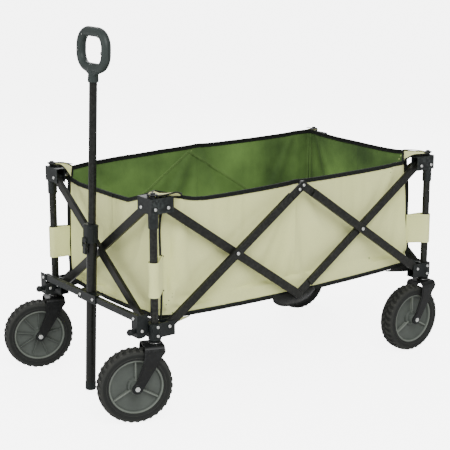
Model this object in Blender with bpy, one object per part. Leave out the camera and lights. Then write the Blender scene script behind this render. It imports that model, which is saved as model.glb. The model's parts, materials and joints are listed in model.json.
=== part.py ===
"""Folding camp wagon: a four-way scissor frame with telescoping corner posts, two swivelling
front casters, two fixed rear wheels, a telescoping pull handle and a canvas bag.

Units are metres, +Z is up. The pull handle is at the -X end and the near side is -Y. Corner
letters are fn (front near), ff (front far), rn (rear near) and rf (rear far). The wagon stands
open, at rest. Heights below are above the ground; each finished piece is then lowered so that
the origin is on top of the floor pad, in the middle of the wagon.
"""

import math

import bmesh
import bpy
from mathutils import Matrix, Vector
from mathutils.geometry import tessellate_polygon

# ---------------------------------------------------------------- driving dimensions
GAP = 0.0003

POST_X = 0.433
POST_Y = 0.230
PIN_LOW_Z = 0.223
PIN_TOP_Z = 0.503
SIDE_PIN_IN = 0.0335
SPAN = POST_X - SIDE_PIN_IN
END_PIN_IN = POST_Y - SPAN / 2
RISE = PIN_TOP_Z - PIN_LOW_Z
BAR_LENGTH = math.hypot(SPAN, RISE)
BAR_ANGLE = math.atan2(RISE, SPAN)

BAR_HEIGHT = 0.021
BAR_DEPTH = 0.009
LAYER_GAP = 0.001
LAP_LENGTH = 0.042
LAP_GAP = 0.0006
PIN_R = 0.0030
HEAD_R = 0.0048
HEAD_H = 0.0020
HEAD_SINK = 0.0002
SPACER_R = 0.0060

BRACKET_HALF = 0.0120
BRACKET_WALL = 0.0019
BRACKET_HUB = 0.0128
SIDE_ARM = 0.0485
END_ARM = 0.0455
LOW_BRACKET_Z = (0.2005, 0.235)
TOP_BRACKET_Z = (0.491, 0.5270)
HUB_R = 0.0145
HUB_FOOT_Z = 0.1945

POST_R = 0.00925
POST_BORE_R = 0.00760
POST_Z = (0.2160, 0.4830)
SLEEVE_R = 0.01150
SLEEVE_Z = 0.4580
SLEEVE_TOP_Z = 0.4840
INNER_R = 0.0069
INNER_BORE_R = 0.0058
INNER_FOOT_Z = 0.2500
CAP_R = 0.0105
CAP_TOP_Z = 0.5400

WHEEL_R = 0.089
TYRE_HALF_WIDTH = 0.021
RIM_R = 0.0655
AXLE_R = 0.0042
TRAIL = 0.049
FORK_INNER = 0.0270
FORK_PLATE = 0.0030
FORK_TOP_Z = 0.1870
FORK_BEND_Z = 0.1795
CROWN_HALF = 0.0235
STEM_R = 0.0050
FRONT_SWIVEL = {"fn": math.radians(19.9), "ff": math.radians(18.2)}

BAG_X = 0.400
BAG_Y = 0.205
BAG_Z = (0.2280, 0.5000)
BAG_WALL = 0.0030
BAG_CHAMFER = 0.020
PAD_THICK = 0.0060
PAD_GAP = 0.0030
PAD_REACH = BAG_X - BAG_WALL - PAD_GAP
PAD_LIFT = 0.0010
PAD_SEAM_X = 0.0050
PAD_SEAM_GAP = 0.0020
FLOOR_TOP_Z = BAG_Z[0] + BAG_WALL + PAD_LIFT + PAD_THICK

SWING_X = -0.4645
SWING_Z = 0.2189
SWING_IN = 0.0163
SWING_HALF = 0.0120
SWING_REAR = 0.0165
CROSS_PIN_IN = 0.0194
CROSS_Z = 0.2478
CROSS_X = (-0.4752, -0.4632)
CROSS_HEIGHT = 0.016
CROSS_PIN_R = 0.0028
CENTRE_PIN_Y = 0.0289
FRONT_PLATE_X = (-0.4778, -0.4758)
FLANGE_BACK_X = -0.4560

HANDLE_LEAN = math.radians(2.2)
HANDLE_X = -0.4629
TUBE_R = 0.0125
TUBE_BORE_R = 0.0108
TUBE_FOOT = -0.2370
TUBE_TOP = 0.1750
COLLAR = (0.1340, 0.1780)
SLIDER_R = 0.0096
SLIDER = (-0.2000, 0.5380)
GRIP_CENTRE = 0.5910
GRIP_WIDTH = 0.134
GRIP_HEIGHT = 0.106
GRIP_THICK = 0.023
LEVER_X = -0.0190
LEVER_AXIS = 0.1280
LEVER_FOOT = 0.1060
LEVER_PIN_R = 0.0018

ROUND = 16
SMALL_ROUND = 8
WHEEL_ROUND = 22
CORNERS = {"fn": (1, 1), "ff": (1, -1), "rn": (-1, 1), "rf": (-1, -1)}


# ---------------------------------------------------------------- scene and materials
def clear_scene():
    for obj in list(bpy.data.objects):
        bpy.data.objects.remove(obj, do_unlink=True)


def material(name, colour, roughness, metallic=0.0):
    made = bpy.data.materials.new(name)
    made.use_nodes = True
    shader = made.node_tree.nodes["Principled BSDF"]
    shader.inputs["Base Color"].default_value = (*colour, 1.0)
    shader.inputs["Roughness"].default_value = roughness
    shader.inputs["Metallic"].default_value = metallic
    made.diffuse_color = (*colour, 1.0)
    return made


def make_materials():
    return {
        "frame_steel": material("frame_steel", (0.018, 0.019, 0.018), 0.42, 0.3),
        "bracket_steel": material("bracket_steel", (0.022, 0.025, 0.026), 0.46, 0.3),
        "black_plastic": material("black_plastic", (0.030, 0.033, 0.033), 0.50),
        "bright_steel": material("bright_steel", (0.62, 0.63, 0.62), 0.30, 1.0),
        "tyre_rubber": material("tyre_rubber", (0.022, 0.023, 0.021), 0.85),
        "wheel_plastic": material("wheel_plastic", (0.115, 0.122, 0.116), 0.48),
        "canvas": material("canvas", (0.62, 0.64, 0.42), 0.88),
        "pad_fabric": material("pad_fabric", (0.10, 0.17, 0.05), 0.88),
    }


# ---------------------------------------------------------------- mesh helpers
def arc(centre, radius, start, end, steps):
    """Points on an arc, angles in degrees, both ends included."""
    angles = (math.radians(start + (end - start) * i / steps) for i in range(steps + 1))
    return [(centre[0] + radius * math.cos(a), centre[1] + radius * math.sin(a)) for a in angles]


def circle(centre, radius, steps):
    half_step = 180 / steps
    return arc(centre, radius, half_step, 360 + half_step, steps)[:-1]


def rounded_rectangle(half_width, half_height, radius, steps=4):
    x, y = half_width - radius, half_height - radius
    points = []
    for cx, cy, start in ((x, y, 0), (-x, y, 90), (-x, -y, 180), (x, -y, 270)):
        points += arc((cx, cy), radius, start, start + 90, steps)
    return points


def prism(outline, low, high, holes=()):
    """A flat outline with holes, drawn in x and y and raised from low to high along z."""
    bm = bmesh.new()
    loops = [list(outline)] + [list(hole) for hole in holes]
    flat = [point for loop in loops for point in loop]
    below = [bm.verts.new((x, y, low)) for x, y in flat]
    above = [bm.verts.new((x, y, high)) for x, y in flat]
    if holes:
        caps = tessellate_polygon([[Vector((x, y, 0)) for x, y in loop] for loop in loops])
    else:
        caps = [range(len(flat))]
    for cap in caps:
        bm.faces.new([below[i] for i in cap])
        bm.faces.new([above[i] for i in cap])
    first = 0
    for loop in loops:
        for i in range(len(loop)):
            a, b = first + i, first + (i + 1) % len(loop)
            bm.faces.new((below[a], below[b], above[b], above[a]))
        first += len(loop)
    bmesh.ops.recalc_face_normals(bm, faces=bm.faces)
    return bm


def box(x, y, z):
    return prism([(x[0], y[0]), (x[1], y[0]), (x[1], y[1]), (x[0], y[1])], z[0], z[1])


def ring_of(bm, radius, height, steps):
    """The vertices of one turned ring, or the single pole of a ring with no radius."""
    if radius == 0:
        return [bm.verts.new((0, 0, height))]
    turns = [math.tau * i / steps for i in range(steps)]
    return [bm.verts.new((radius * math.cos(t), radius * math.sin(t), height)) for t in turns]


def band(bm, ring, following, steps):
    """The faces between two turned rings."""
    for i in range(steps):
        j = (i + 1) % steps
        corners = [ring[i % len(ring)], ring[j % len(ring)]]
        corners += [following[j % len(following)], following[i % len(following)]]
        bm.faces.new(tuple(dict.fromkeys(corners)))


def lathe(profile, steps=ROUND):
    """A closed profile of (radius, height) turned round z."""
    bm = bmesh.new()
    rings = [ring_of(bm, radius, height, steps) for radius, height in profile]
    for k, ring in enumerate(rings):
        band(bm, ring, rings[(k + 1) % len(rings)], steps)
    bmesh.ops.recalc_face_normals(bm, faces=bm.faces)
    return bm


def open_lathe(profile, steps=SMALL_ROUND):
    """A profile of (radius, height) whose two ends lie on the axis, turned round z."""
    bm = bmesh.new()
    rings = [ring_of(bm, radius, height, steps) for radius, height in profile]
    for ring, following in zip(rings, rings[1:]):
        band(bm, ring, following, steps)
    bmesh.ops.recalc_face_normals(bm, faces=bm.faces)
    return bm


def cylinder(radius, low, high, steps=SMALL_ROUND):
    return prism(circle((0, 0), radius, steps), low, high)


def across_corners(radius, steps):
    """The corner radius of a polygon that leaves this radius free inside it."""
    return radius / math.cos(math.pi / steps)


def hole(radius, low, high, steps=SMALL_ROUND):
    """A cutter along z that leaves room for a pin of this radius."""
    return cylinder(across_corners(radius + GAP, steps), low, high, steps)


def tube(outer, inner, low, high, steps=ROUND):
    return lathe([(inner, low), (outer, low), (outer, high), (inner, high)], steps)


def moved(bm, *transforms):
    for transform in transforms:
        bm.transform(transform)
    return bm


def along_x(bm):
    """Turns z onto x, keeping y."""
    return moved(bm, Matrix.Rotation(math.pi / 2, 4, "Y"))


def across(bm):
    """Turns an outline's x onto world y, its y onto world z and its height onto world x."""
    return moved(bm, Matrix(((0, 0, 1, 0), (1, 0, 0, 0), (0, 1, 0, 0), (0, 0, 0, 1))))


def along_y(bm):
    """Turns an outline's x, y onto world x, z and its height onto world y."""
    bm.transform(Matrix(((1, 0, 0, 0), (0, 0, 1, 0), (0, 1, 0, 0), (0, 0, 0, 1))))
    bmesh.ops.reverse_faces(bm, faces=bm.faces)
    return bm


def shifted(bm, x=0.0, y=0.0, z=0.0):
    return moved(bm, Matrix.Translation((x, y, z)))


def mirrored(bm, sx, sy):
    """Mirrors across the planes of a corner, and turns the faces back out."""
    bm.transform(Matrix.Diagonal((sx, sy, 1, 1)))
    if sx * sy < 0:
        bmesh.ops.reverse_faces(bm, faces=bm.faces)
    return bm


def mesh_from(bm, name):
    mesh = bpy.data.meshes.new(name)
    bm.to_mesh(mesh)
    bm.free()
    return mesh


def combined(base, tools):
    """The base mesh with each (operation, bmesh) of tools applied by an exact Boolean."""
    target = bpy.data.objects.new("base", mesh_from(base, "base"))
    bpy.context.scene.collection.objects.link(target)
    for operation, tool in tools:
        other = bpy.data.objects.new("tool", mesh_from(tool, "tool"))
        bpy.context.scene.collection.objects.link(other)
        step = target.modifiers.new("step", "BOOLEAN")
        step.operation = operation
        step.object = other
    graph = bpy.context.evaluated_depsgraph_get()
    mesh = bpy.data.meshes.new_from_object(target.evaluated_get(graph))
    for step in list(target.modifiers):
        bpy.data.objects.remove(step.object, do_unlink=True)
    bpy.data.objects.remove(target, do_unlink=True)
    result = bmesh.new()
    result.from_mesh(mesh)
    bpy.data.meshes.remove(mesh)
    return result


def joined(base, *tools):
    return combined(base, [("UNION", tool) for tool in tools])


def cut(base, *tools):
    return combined(base, [("DIFFERENCE", tool) for tool in tools])


def place(name, bm, surface, location=(0, 0, 0), rotation=(0, 0, 0), smooth=True):
    """Puts a finished piece in the scene, lowered so that the floor pad's top is at height 0.
    The location is on the axis that the piece turns about."""
    mesh = mesh_from(bm, name)
    mesh.materials.clear()
    mesh.materials.append(surface)
    if smooth:
        mesh.shade_smooth()
        mesh.set_sharp_from_angle(angle=math.radians(35))
    obj = bpy.data.objects.new(name, mesh)
    obj.location = Vector(location) - Vector((0, 0, FLOOR_TOP_Z))
    obj.rotation_euler = rotation
    bpy.context.scene.collection.objects.link(obj)
    return obj


def rivet(low, high, radius=PIN_R):
    """A pin along z with a domed head at each end; low and high are the faces that the heads sit
    on, and each head sinks a little into its face."""
    low, high = low + HEAD_SINK, high - HEAD_SINK
    profile = [(0, low - HEAD_H), (HEAD_R * 0.7, low - HEAD_H), (HEAD_R, low), (radius, low)]
    profile += [(radius, high), (HEAD_R, high), (HEAD_R * 0.7, high + HEAD_H), (0, high + HEAD_H)]
    return open_lathe(profile)


# ---------------------------------------------------------------- scissor bars
def bar_outline():
    half = BAR_HEIGHT / 2
    return arc((0, 0), half, 90, 270, 6) + arc((BAR_LENGTH, 0), half, -90, 90, 6)


def layer(outer, outward):
    """The two faces, along the bar's own y, of the outer or the inner layer of bars."""
    near, far = LAYER_GAP / 2, LAYER_GAP / 2 + BAR_DEPTH
    side = outward if outer else -outward
    return tuple(sorted((side * near, side * far)))


def scissor_bar(outer, outward, lap=None):
    """One bar along x from pin to pin. The lap is "over" or "under" at the far end, or None."""
    low, high = layer(outer, outward)
    clear = GAP + HEAD_SINK
    bores = [0.0, BAR_LENGTH]
    if not outer:
        bores.append(BAR_LENGTH / 2)
    if lap == "over":
        bores.remove(BAR_LENGTH)
    tools = []
    if lap:
        middle = (low + high) / 2
        keeps_high_side = (outward > 0) == (lap == "over")
        if keeps_high_side:
            removed = (low - BAR_DEPTH, middle + LAP_GAP / 2)
        else:
            removed = (middle - LAP_GAP / 2, high + BAR_DEPTH)
        span = (BAR_LENGTH - LAP_LENGTH, BAR_LENGTH + BAR_HEIGHT)
        tools.append(("DIFFERENCE", box(span, removed, (-BAR_HEIGHT, BAR_HEIGHT))))
    bar = along_y(prism(bar_outline(), low, high))
    for x in bores:
        bore = along_y(shifted(hole(PIN_R, low - 0.004, high + 0.004), x=x))
        tools.append(("DIFFERENCE", bore))
    if outer:
        inner_low, inner_high = layer(False, outward)
        ends = (low, inner_high + clear) if outward < 0 else (inner_low - clear, high)
        tools.append(("UNION", along_y(shifted(rivet(*ends), x=BAR_LENGTH / 2))))
    if lap == "over":
        ends = (low, high + clear) if outward < 0 else (low - clear, high)
        tools.append(("UNION", along_y(shifted(rivet(*ends), x=BAR_LENGTH))))
    return combined(bar, tools)


def place_bar(name, surface, pivot_at, start, heading, angle, outer, outward, lap):
    """heading is the bar's horizontal direction, (1, 0), (-1, 0), (0, 1) or (0, -1)."""
    yaw = math.atan2(heading[1], heading[0])
    # outward is given along the world's axis, and the yaw turns it into the bar's own y
    normal = Vector((-math.sin(yaw), math.cos(yaw)))
    own = outward[0] * normal[0] + outward[1] * normal[1]
    bar = scissor_bar(outer, 1 if own > 0 else -1, lap)
    shifted(bar, x=-pivot_at)
    direction = Vector((heading[0] * math.cos(angle), heading[1] * math.cos(angle), math.sin(angle)))
    origin = Vector(start) + direction * pivot_at
    place(name, bar, surface, origin, (0, -angle, yaw))


def scissor(prefix, surface, low, top, heading, outward, lap):
    """One crossed pair: the outer bar rises from its low pin, the inner one falls from its top
    pin. Each names the pin that its mesh starts from."""
    outer_name, inner_name = f"{prefix}_outer", f"{prefix}_inner"
    outer_pivot = BAR_LENGTH if lap == "under" else 0
    place_bar(outer_name, surface, outer_pivot, low, heading, BAR_ANGLE, True, outward, lap)
    place_bar(inner_name, surface, BAR_LENGTH / 2, top, heading, -BAR_ANGLE, False, outward, lap)


def make_bars(surface):
    """On a side, the front pair's middle ends lie over the rear pair's, and its lower bar turns
    about the front corner; the rear pair's lower bar turns about the middle."""
    for side, sy in (("near", -1), ("far", 1)):
        for end, sx, lap in (("front", -1, "over"), ("rear", 1, "under")):
            low = (sx * SPAN, sy * POST_Y, PIN_LOW_Z)
            top = (sx * SPAN, sy * POST_Y, PIN_TOP_Z)
            scissor(f"bar_{side}_{end}", surface, low, top, (-sx, 0), (0, sy), lap)
    for end, sx in (("front", -1), ("rear", 1)):
        low = (sx * POST_X, -SPAN / 2, PIN_LOW_Z)
        top = (sx * POST_X, -SPAN / 2, PIN_TOP_Z)
        scissor(f"bar_{end}", surface, low, top, (0, 1), (sx, 0), None)


# ---------------------------------------------------------------- corner brackets and posts
def bracket_plan():
    """Two channel arms that meet at the post, drawn with the arms along +x and +y."""
    a, wall, hub = BRACKET_HALF, BRACKET_WALL, BRACKET_HUB
    return [
        (-a, -a),
        (SIDE_ARM, -a),
        (SIDE_ARM, wall - a),
        (hub, wall - a),
        (hub, a - wall),
        (SIDE_ARM, a - wall),
        (SIDE_ARM, a),
        (a, a),
        (a, END_ARM),
        (a - wall, END_ARM),
        (a - wall, hub),
        (wall - a, hub),
        (wall - a, END_ARM),
        (-a, END_ARM),
    ]


def arm_pins(pin_z, side_outer, end_outer):
    """The rivet through each arm, with a spacer on the side that holds no bar."""
    pins = []
    for along, pin_at, outer in (("side", SIDE_PIN_IN, side_outer), ("end", END_PIN_IN, end_outer)):
        pin = rivet(-BRACKET_HALF, BRACKET_HALF)
        low, high = (0.0, BRACKET_HALF - 0.0005) if outer else (-BRACKET_HALF + 0.0005, 0.0)
        spacer = cylinder(SPACER_R, low, high)
        for piece in (pin, spacer):
            if along == "side":
                shifted(along_y(piece), x=pin_at, z=pin_z)
            else:
                shifted(along_x(piece), y=pin_at, z=pin_z)
        pins += [pin, spacer]
    return pins


def webs(low, high):
    a, inset = BRACKET_HALF, 0.0004
    side = box((BRACKET_HUB - 0.001, SIDE_ARM - inset), (inset - a, a - inset), (low, high))
    end = box((inset - a, a - inset), (BRACKET_HUB - 0.001, END_ARM - inset), (low, high))
    return [side, end]


def low_bracket(corner):
    """The bottom corner bracket, with the caster's bore below and the post's seat above."""
    sx, sy = CORNERS[corner]
    side_outer, end_outer = True, corner in ("fn", "rn")
    low, high = LOW_BRACKET_Z
    body = prism(bracket_plan(), low, high)
    foot = cylinder(HUB_R, HUB_FOOT_Z, high - 0.001, ROUND)
    pieces = [foot, *webs(low + 0.0003, low + 0.0023), *arm_pins(PIN_LOW_Z, side_outer, end_outer)]
    body = joined(body, *pieces)
    if corner in ("fn", "ff"):
        body = joined(body, swing_lug())
        bore = along_y(hole(PIN_R, -0.012, 0.012))
        body = cut(body, shifted(bore, x=POST_X + SWING_X, y=SWING_IN, z=SWING_Z))
    seat = hole(POST_R, POST_Z[0] - GAP, high + 0.01, ROUND)
    bore = hole(STEM_R, HUB_FOOT_Z - 0.01, POST_Z[0] + 0.001, ROUND)
    return mirrored(cut(body, seat, bore), sx, sy)


def swing_lug():
    """The ear on the front of a front bracket that the handle's swing bracket turns on."""
    reach = POST_X + SWING_X
    outline = [(-BRACKET_HALF + 0.001, SWING_Z + 0.007), *arc((reach, SWING_Z), 0.007, 90, 270, 8)]
    outline.append((-BRACKET_HALF + 0.001, SWING_Z - 0.007))
    return along_y(prism(outline, SWING_IN - 0.0075, SWING_IN + 0.0075))


def top_bracket(corner):
    """The top corner bracket, with a sleeve that slides on the lower post."""
    sx, sy = CORNERS[corner]
    side_outer, end_outer = False, corner in ("ff", "rf")
    low, high = TOP_BRACKET_Z
    body = prism(bracket_plan(), low, high)
    sleeve = cylinder(SLEEVE_R, SLEEVE_Z, low + 0.006, ROUND)
    pieces = [sleeve, *webs(high - 0.0023, high - 0.0003), *arm_pins(PIN_TOP_Z, side_outer, end_outer)]
    body = joined(body, *pieces)
    guide = hole(POST_R, SLEEVE_Z - 0.01, SLEEVE_TOP_Z, ROUND)
    seat = hole(INNER_R, SLEEVE_TOP_Z - 0.001, high + 0.01, ROUND)
    return mirrored(cut(body, guide, seat), sx, sy)


def inner_post():
    """The tube fixed in the top bracket, with the cap that the bag's corner cord hooks on."""
    crown = TOP_BRACKET_Z[1] + 0.001
    return open_lathe(
        [
            (0, crown),
            (INNER_BORE_R, crown - 0.002),
            (INNER_BORE_R, INNER_FOOT_Z),
            (INNER_R, INNER_FOOT_Z),
            (INNER_R, crown),
            (INNER_R - 0.001, crown + 0.0035),
            (CAP_R, crown + 0.0045),
            (CAP_R, CAP_TOP_Z - 0.002),
            (CAP_R - 0.002, CAP_TOP_Z),
            (0, CAP_TOP_Z),
        ],
        ROUND,
    )


def make_corners(surfaces):
    for corner, (sx, sy) in CORNERS.items():
        x, y = -sx * POST_X, -sy * POST_Y
        foot = (x, y, 0)
        place(f"bottom_bracket_{corner}", low_bracket(corner), surfaces["bracket_steel"], foot)
        place(f"lower_post_{corner}", tube(POST_R, POST_BORE_R, *POST_Z), surfaces["frame_steel"], foot)
        place(f"top_bracket_{corner}", top_bracket(corner), surfaces["bracket_steel"], foot)
        place(f"inner_post_{corner}", inner_post(), surfaces["frame_steel"], foot)


# ---------------------------------------------------------------- forks and wheels
def fork_leg_outline():
    """One fork leg from the side: a broad shoulder that tapers forward and down to the axle.
    The wheel trails towards -x."""
    top = FORK_BEND_Z - 0.0005
    front = [(-0.0310, top), (-0.0322, 0.1540), (-0.0521, 0.1040)]
    round_axle = arc((-TRAIL, WHEEL_R), 0.0125, 137, 327, 8)
    rear = [(-0.0027, 0.1385), (0.0091, 0.1605), (0.0160, 0.1690), (0.0185, 0.1755), (0.0185, top)]
    return front + round_axle + rear


def fork_crown():
    """The bent top of a fork, drawn across the wheel: flat in the middle, sloping to the legs."""
    half = FORK_INNER + FORK_PLATE - 0.0003
    foot = FORK_BEND_Z - 0.0075
    outer = [(half, foot), (half, FORK_BEND_Z), (CROWN_HALF, FORK_TOP_Z)]
    inner = [(half - 0.0024, foot), (half - 0.0024, FORK_BEND_Z - 0.0012)]
    inner.append((CROWN_HALF - 0.0013, FORK_TOP_Z - 0.0032))
    shape = outer + [(-y, z) for y, z in reversed(outer)]
    shape += [(-y, z) for y, z in inner] + list(reversed(inner))
    return across(prism(shape, -0.0300, 0.0175))


def fork(swivels):
    """A pressed fork; a swivelling one has a stem and a bearing disc, a fixed one a spacer."""
    leg_low, leg_high = FORK_INNER, FORK_INNER + FORK_PLATE
    legs = [along_y(prism(fork_leg_outline(), side * leg_low, side * leg_high)) for side in (-1, 1)]
    for leg in legs:
        bmesh.ops.recalc_face_normals(leg, faces=leg.faces)
    if swivels:
        neck = [cylinder(0.0140, FORK_TOP_Z - 0.001, FORK_TOP_Z + 0.0060, ROUND)]
        neck.append(cylinder(STEM_R, FORK_TOP_Z, POST_Z[0] - 0.0015, ROUND))
    else:
        neck = [cylinder(0.0140, FORK_TOP_Z - 0.001, HUB_FOOT_Z - GAP, ROUND)]
    body = joined(fork_crown(), *legs, *neck)
    bore = along_y(hole(AXLE_R, -0.05, 0.05, ROUND))
    return cut(body, shifted(bore, x=-TRAIL, z=WHEEL_R))


def axle():
    """A plain rod with a head against the outside of each fork leg."""
    face = FORK_INNER + FORK_PLATE + GAP
    head, tip = 0.0065, face + 0.0035
    profile = [(0, -tip), (head - 0.001, -tip), (head, -tip + 0.001), (head, -face), (AXLE_R, -face)]
    profile += [(AXLE_R, face), (head, face), (head, tip - 0.001), (head - 0.001, tip), (0, tip)]
    return along_y(open_lathe(profile))


def hub():
    """The wheel's moulded centre: a rim ring, a thin web and a boss with the axle's bore."""
    rim, ring, boss, bore = RIM_R - GAP, RIM_R - 0.0060, 0.0125, AXLE_R + 0.0004
    profile = [(bore, -0.0250), (boss, -0.0250), (boss + 0.001, -0.004), (ring, -0.004)]
    profile += [(ring, -0.0165), (rim, -0.0165), (rim, 0.0165), (ring, 0.0165), (ring, 0.004)]
    profile += [(boss + 0.001, 0.004), (boss, 0.0250), (bore, 0.0250)]
    return along_y(lathe(profile, WHEEL_ROUND))


def tyre():
    """A solid tyre with rounded shoulders."""
    inner, shoulder = RIM_R, WHEEL_R - 0.010
    side = TYRE_HALF_WIDTH
    profile = [(inner, -0.0190), (shoulder, -side), (WHEEL_R - 0.0020, -0.0140), (WHEEL_R, -0.0060)]
    profile += [(WHEEL_R, 0.0060), (WHEEL_R - 0.0020, 0.0140), (shoulder, side), (inner, 0.0190)]
    return along_y(lathe(profile, WHEEL_ROUND))


def make_wheels(surfaces):
    for corner, (sx, sy) in CORNERS.items():
        x, y = -sx * POST_X, -sy * POST_Y
        swivel = FRONT_SWIVEL.get(corner, 0.0)
        turn = (0, 0, -swivel)
        axle_at = (x - TRAIL * math.cos(swivel), y + TRAIL * math.sin(swivel), WHEEL_R)
        frame = fork(corner in FRONT_SWIVEL)
        place(f"fork_{corner}", frame, surfaces["bracket_steel"], (x, y, 0), turn)
        place(f"axle_{corner}", axle(), surfaces["bright_steel"], axle_at, turn)
        place(f"wheel_hub_{corner}", hub(), surfaces["wheel_plastic"], axle_at, turn)
        place(f"tyre_{corner}", tyre(), surfaces["tyre_rubber"], axle_at, turn)


# ---------------------------------------------------------------- bag and floor
def chamfered(half_x, half_y, chamfer):
    points = []
    for sx, sy in ((1, 1), (-1, 1), (-1, -1), (1, -1)):
        pair = [(sx * half_x, sy * (half_y - chamfer)), (sx * (half_x - chamfer), sy * half_y)]
        points += pair if sx * sy > 0 else pair[::-1]
    return points


def bag():
    """The canvas bag as an open-topped tub."""
    outside = prism(chamfered(BAG_X, BAG_Y, BAG_CHAMFER), *BAG_Z)
    hollow = chamfered(BAG_X - BAG_WALL, BAG_Y - BAG_WALL, BAG_CHAMFER - 0.001)
    return cut(outside, prism(hollow, BAG_Z[0] + BAG_WALL, BAG_Z[1] + 0.05))


def floor_pad(direction):
    """Half of the stiffened floor, from its hinge line at the end wall to the seam."""
    length = PAD_REACH + direction * PAD_SEAM_X - PAD_SEAM_GAP / 2
    half_y = BAG_Y - BAG_WALL - PAD_GAP
    corner = BAG_CHAMFER + 0.002
    outline = [(0, corner - half_y), (corner, -half_y), (length, -half_y)]
    outline += [(x, -y) for x, y in reversed(outline)]
    pad = prism([(direction * x, y) for x, y in outline], -PAD_THICK / 2, PAD_THICK / 2)
    bmesh.ops.recalc_face_normals(pad, faces=pad.faces)
    return pad


def make_bag(surfaces):
    place("bag", bag(), surfaces["canvas"], smooth=False)
    for end, direction in (("front", 1), ("rear", -1)):
        hinge = (-direction * PAD_REACH, 0, FLOOR_TOP_Z - PAD_THICK / 2)
        place(f"floor_pad_{end}", floor_pad(direction), surfaces["pad_fabric"], hinge, smooth=False)


# ---------------------------------------------------------------- pull handle
def swing_bracket(near):
    """The U-shaped bracket that carries one end of the crossbar and swings on the corner's ear.
    It is drawn about its own axis for the near side, with +y towards the middle."""
    front, back = FRONT_PLATE_X[0] - SWING_X, FRONT_PLATE_X[1] - SWING_X
    top, short = CROSS_Z - SWING_Z + 0.0105, 0.0125
    walls = []
    for outer_face in (-SWING_HALF, SWING_HALF - 0.0015):
        tall = near and outer_face < 0
        crest = top - 0.0005 if tall else short
        outline = [(front + 0.0005, crest), (front + 0.0005, -0.0140), (-0.0100, -SWING_REAR)]
        outline += arc((0, 0), SWING_REAR, -90, 0, 6)
        outline += [(SWING_REAR, crest - 0.003), (SWING_REAR - 0.003, crest)]
        walls.append(along_y(prism(outline, outer_face, outer_face + 0.0015)))
    plate = box((front, back), (0.0002 - SWING_HALF, SWING_HALF - 0.0002), (-0.0145, top))
    pin = along_y(rivet(-SWING_HALF, SWING_HALF))
    tools = [*walls, pin]
    cross_pin_y = CROSS_PIN_IN - SWING_IN
    depth = CROSS_X[1] - SWING_X if near else back - 0.0005
    tools.append(shifted(along_x(flush_rivet(front, depth)), y=cross_pin_y, z=CROSS_Z - SWING_Z))
    return joined(plate, *tools)


def flush_rivet(head_at, end_at, radius=CROSS_PIN_R):
    """A rivet with one head, whose shank ends at end_at."""
    profile = [(0, head_at - HEAD_H), (HEAD_R * 0.7, head_at - HEAD_H), (HEAD_R, head_at + 0.0004)]
    profile += [(radius, head_at + 0.0004), (radius, end_at), (0, end_at)]
    return open_lathe(profile)


def swing_knob():
    """The small rounded stop knob on the front of a swing bracket, along -x."""
    profile = [(0, 0.0), (0.0048, 0.0), (0.0044, 0.0035), (0.0078, 0.0085), (0.0080, 0.0130)]
    profile += [(0.0058, 0.0175), (0, 0.0190)]
    return moved(open_lathe(profile, 16), Matrix.Rotation(-math.pi / 2, 4, "Y"))


def half_crossbar(inner_bore_only):
    """Half of the crossbar, from its centre pin at the origin towards +y."""
    length = POST_Y - CROSS_PIN_IN - CENTRE_PIN_Y
    half = CROSS_HEIGHT / 2
    shape = arc((0, 0), half, 90, 270, 6) + arc((length, 0), half, -90, 90, 6)
    bore_r = across_corners(CROSS_PIN_R + GAP, SMALL_ROUND)
    holes = [circle((0, 0), bore_r, SMALL_ROUND)]
    if not inner_bore_only:
        holes.append(circle((length, 0), bore_r, SMALL_ROUND))
    return across(prism(shape, *CROSS_X, holes))


def centre_bracket():
    """The channel that joins the two halves of the crossbar to the handle's lower tube. It is
    drawn about the middle of the crossbar."""
    half, tall, inset = 0.0410, 0.0110, 0.0004
    front = FRONT_PLATE_X[0]
    plate = box(FRONT_PLATE_X, (-half, half), (-tall, tall))
    flange_y, flange_z = (inset - half, half - inset), (tall - 0.0018, tall - 0.0003)
    flange = box((front + inset, FLANGE_BACK_X), flange_y, flange_z)
    pins = []
    for y in (-CENTRE_PIN_Y, CENTRE_PIN_Y):
        pins.append(shifted(along_x(flush_rivet(front, CROSS_X[1])), y=y))
    clear = hole(TUBE_R, -0.05, 0.05, ROUND)
    moved(clear, Matrix.Rotation(HANDLE_LEAN, 4, "Y"), Matrix.Translation((HANDLE_X, 0, 0)))
    return cut(joined(plate, flange, *pins), clear)


def lower_handle_tube():
    """The outer tube of the handle, closed at its foot and open at the top."""
    foot = TUBE_FOOT
    return open_lathe(
        [
            (0, foot),
            (TUBE_R - 0.004, foot),
            (TUBE_R, foot + 0.004),
            (TUBE_R, TUBE_TOP),
            (TUBE_BORE_R, TUBE_TOP),
            (TUBE_BORE_R, foot + 0.006),
            (0, foot + 0.005),
        ],
        ROUND,
    )


def collar():
    """The moulded collar on top of the lower tube, with two ears for the lock lever."""
    low, high = COLLAR
    outline = [(x - 0.0036, y) for x, y in rounded_rectangle(0.0150, 0.0192, 0.0120)]
    body = prism(outline, low, high)
    ears = []
    for side in (-1, 1):
        y = sorted((side * 0.0068, side * 0.0090))
        ears.append(box((-0.0225, -0.0148), y, (LEVER_AXIS - 0.0045, low + 0.0040)))
    roof = box((-0.0225, -0.0120), (-0.0088, 0.0088), (low + 0.0004, low + 0.0120))
    body = joined(body, roof, *ears)
    seat = hole(TUBE_R, low - 0.02, TUBE_TOP + GAP, ROUND)
    throat = hole(SLIDER_R, TUBE_TOP, high + 0.01, ROUND)
    bore = along_y(shifted(hole(LEVER_PIN_R, -0.02, 0.02), x=LEVER_X, y=LEVER_AXIS))
    return cut(body, seat, throat, bore)


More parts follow.
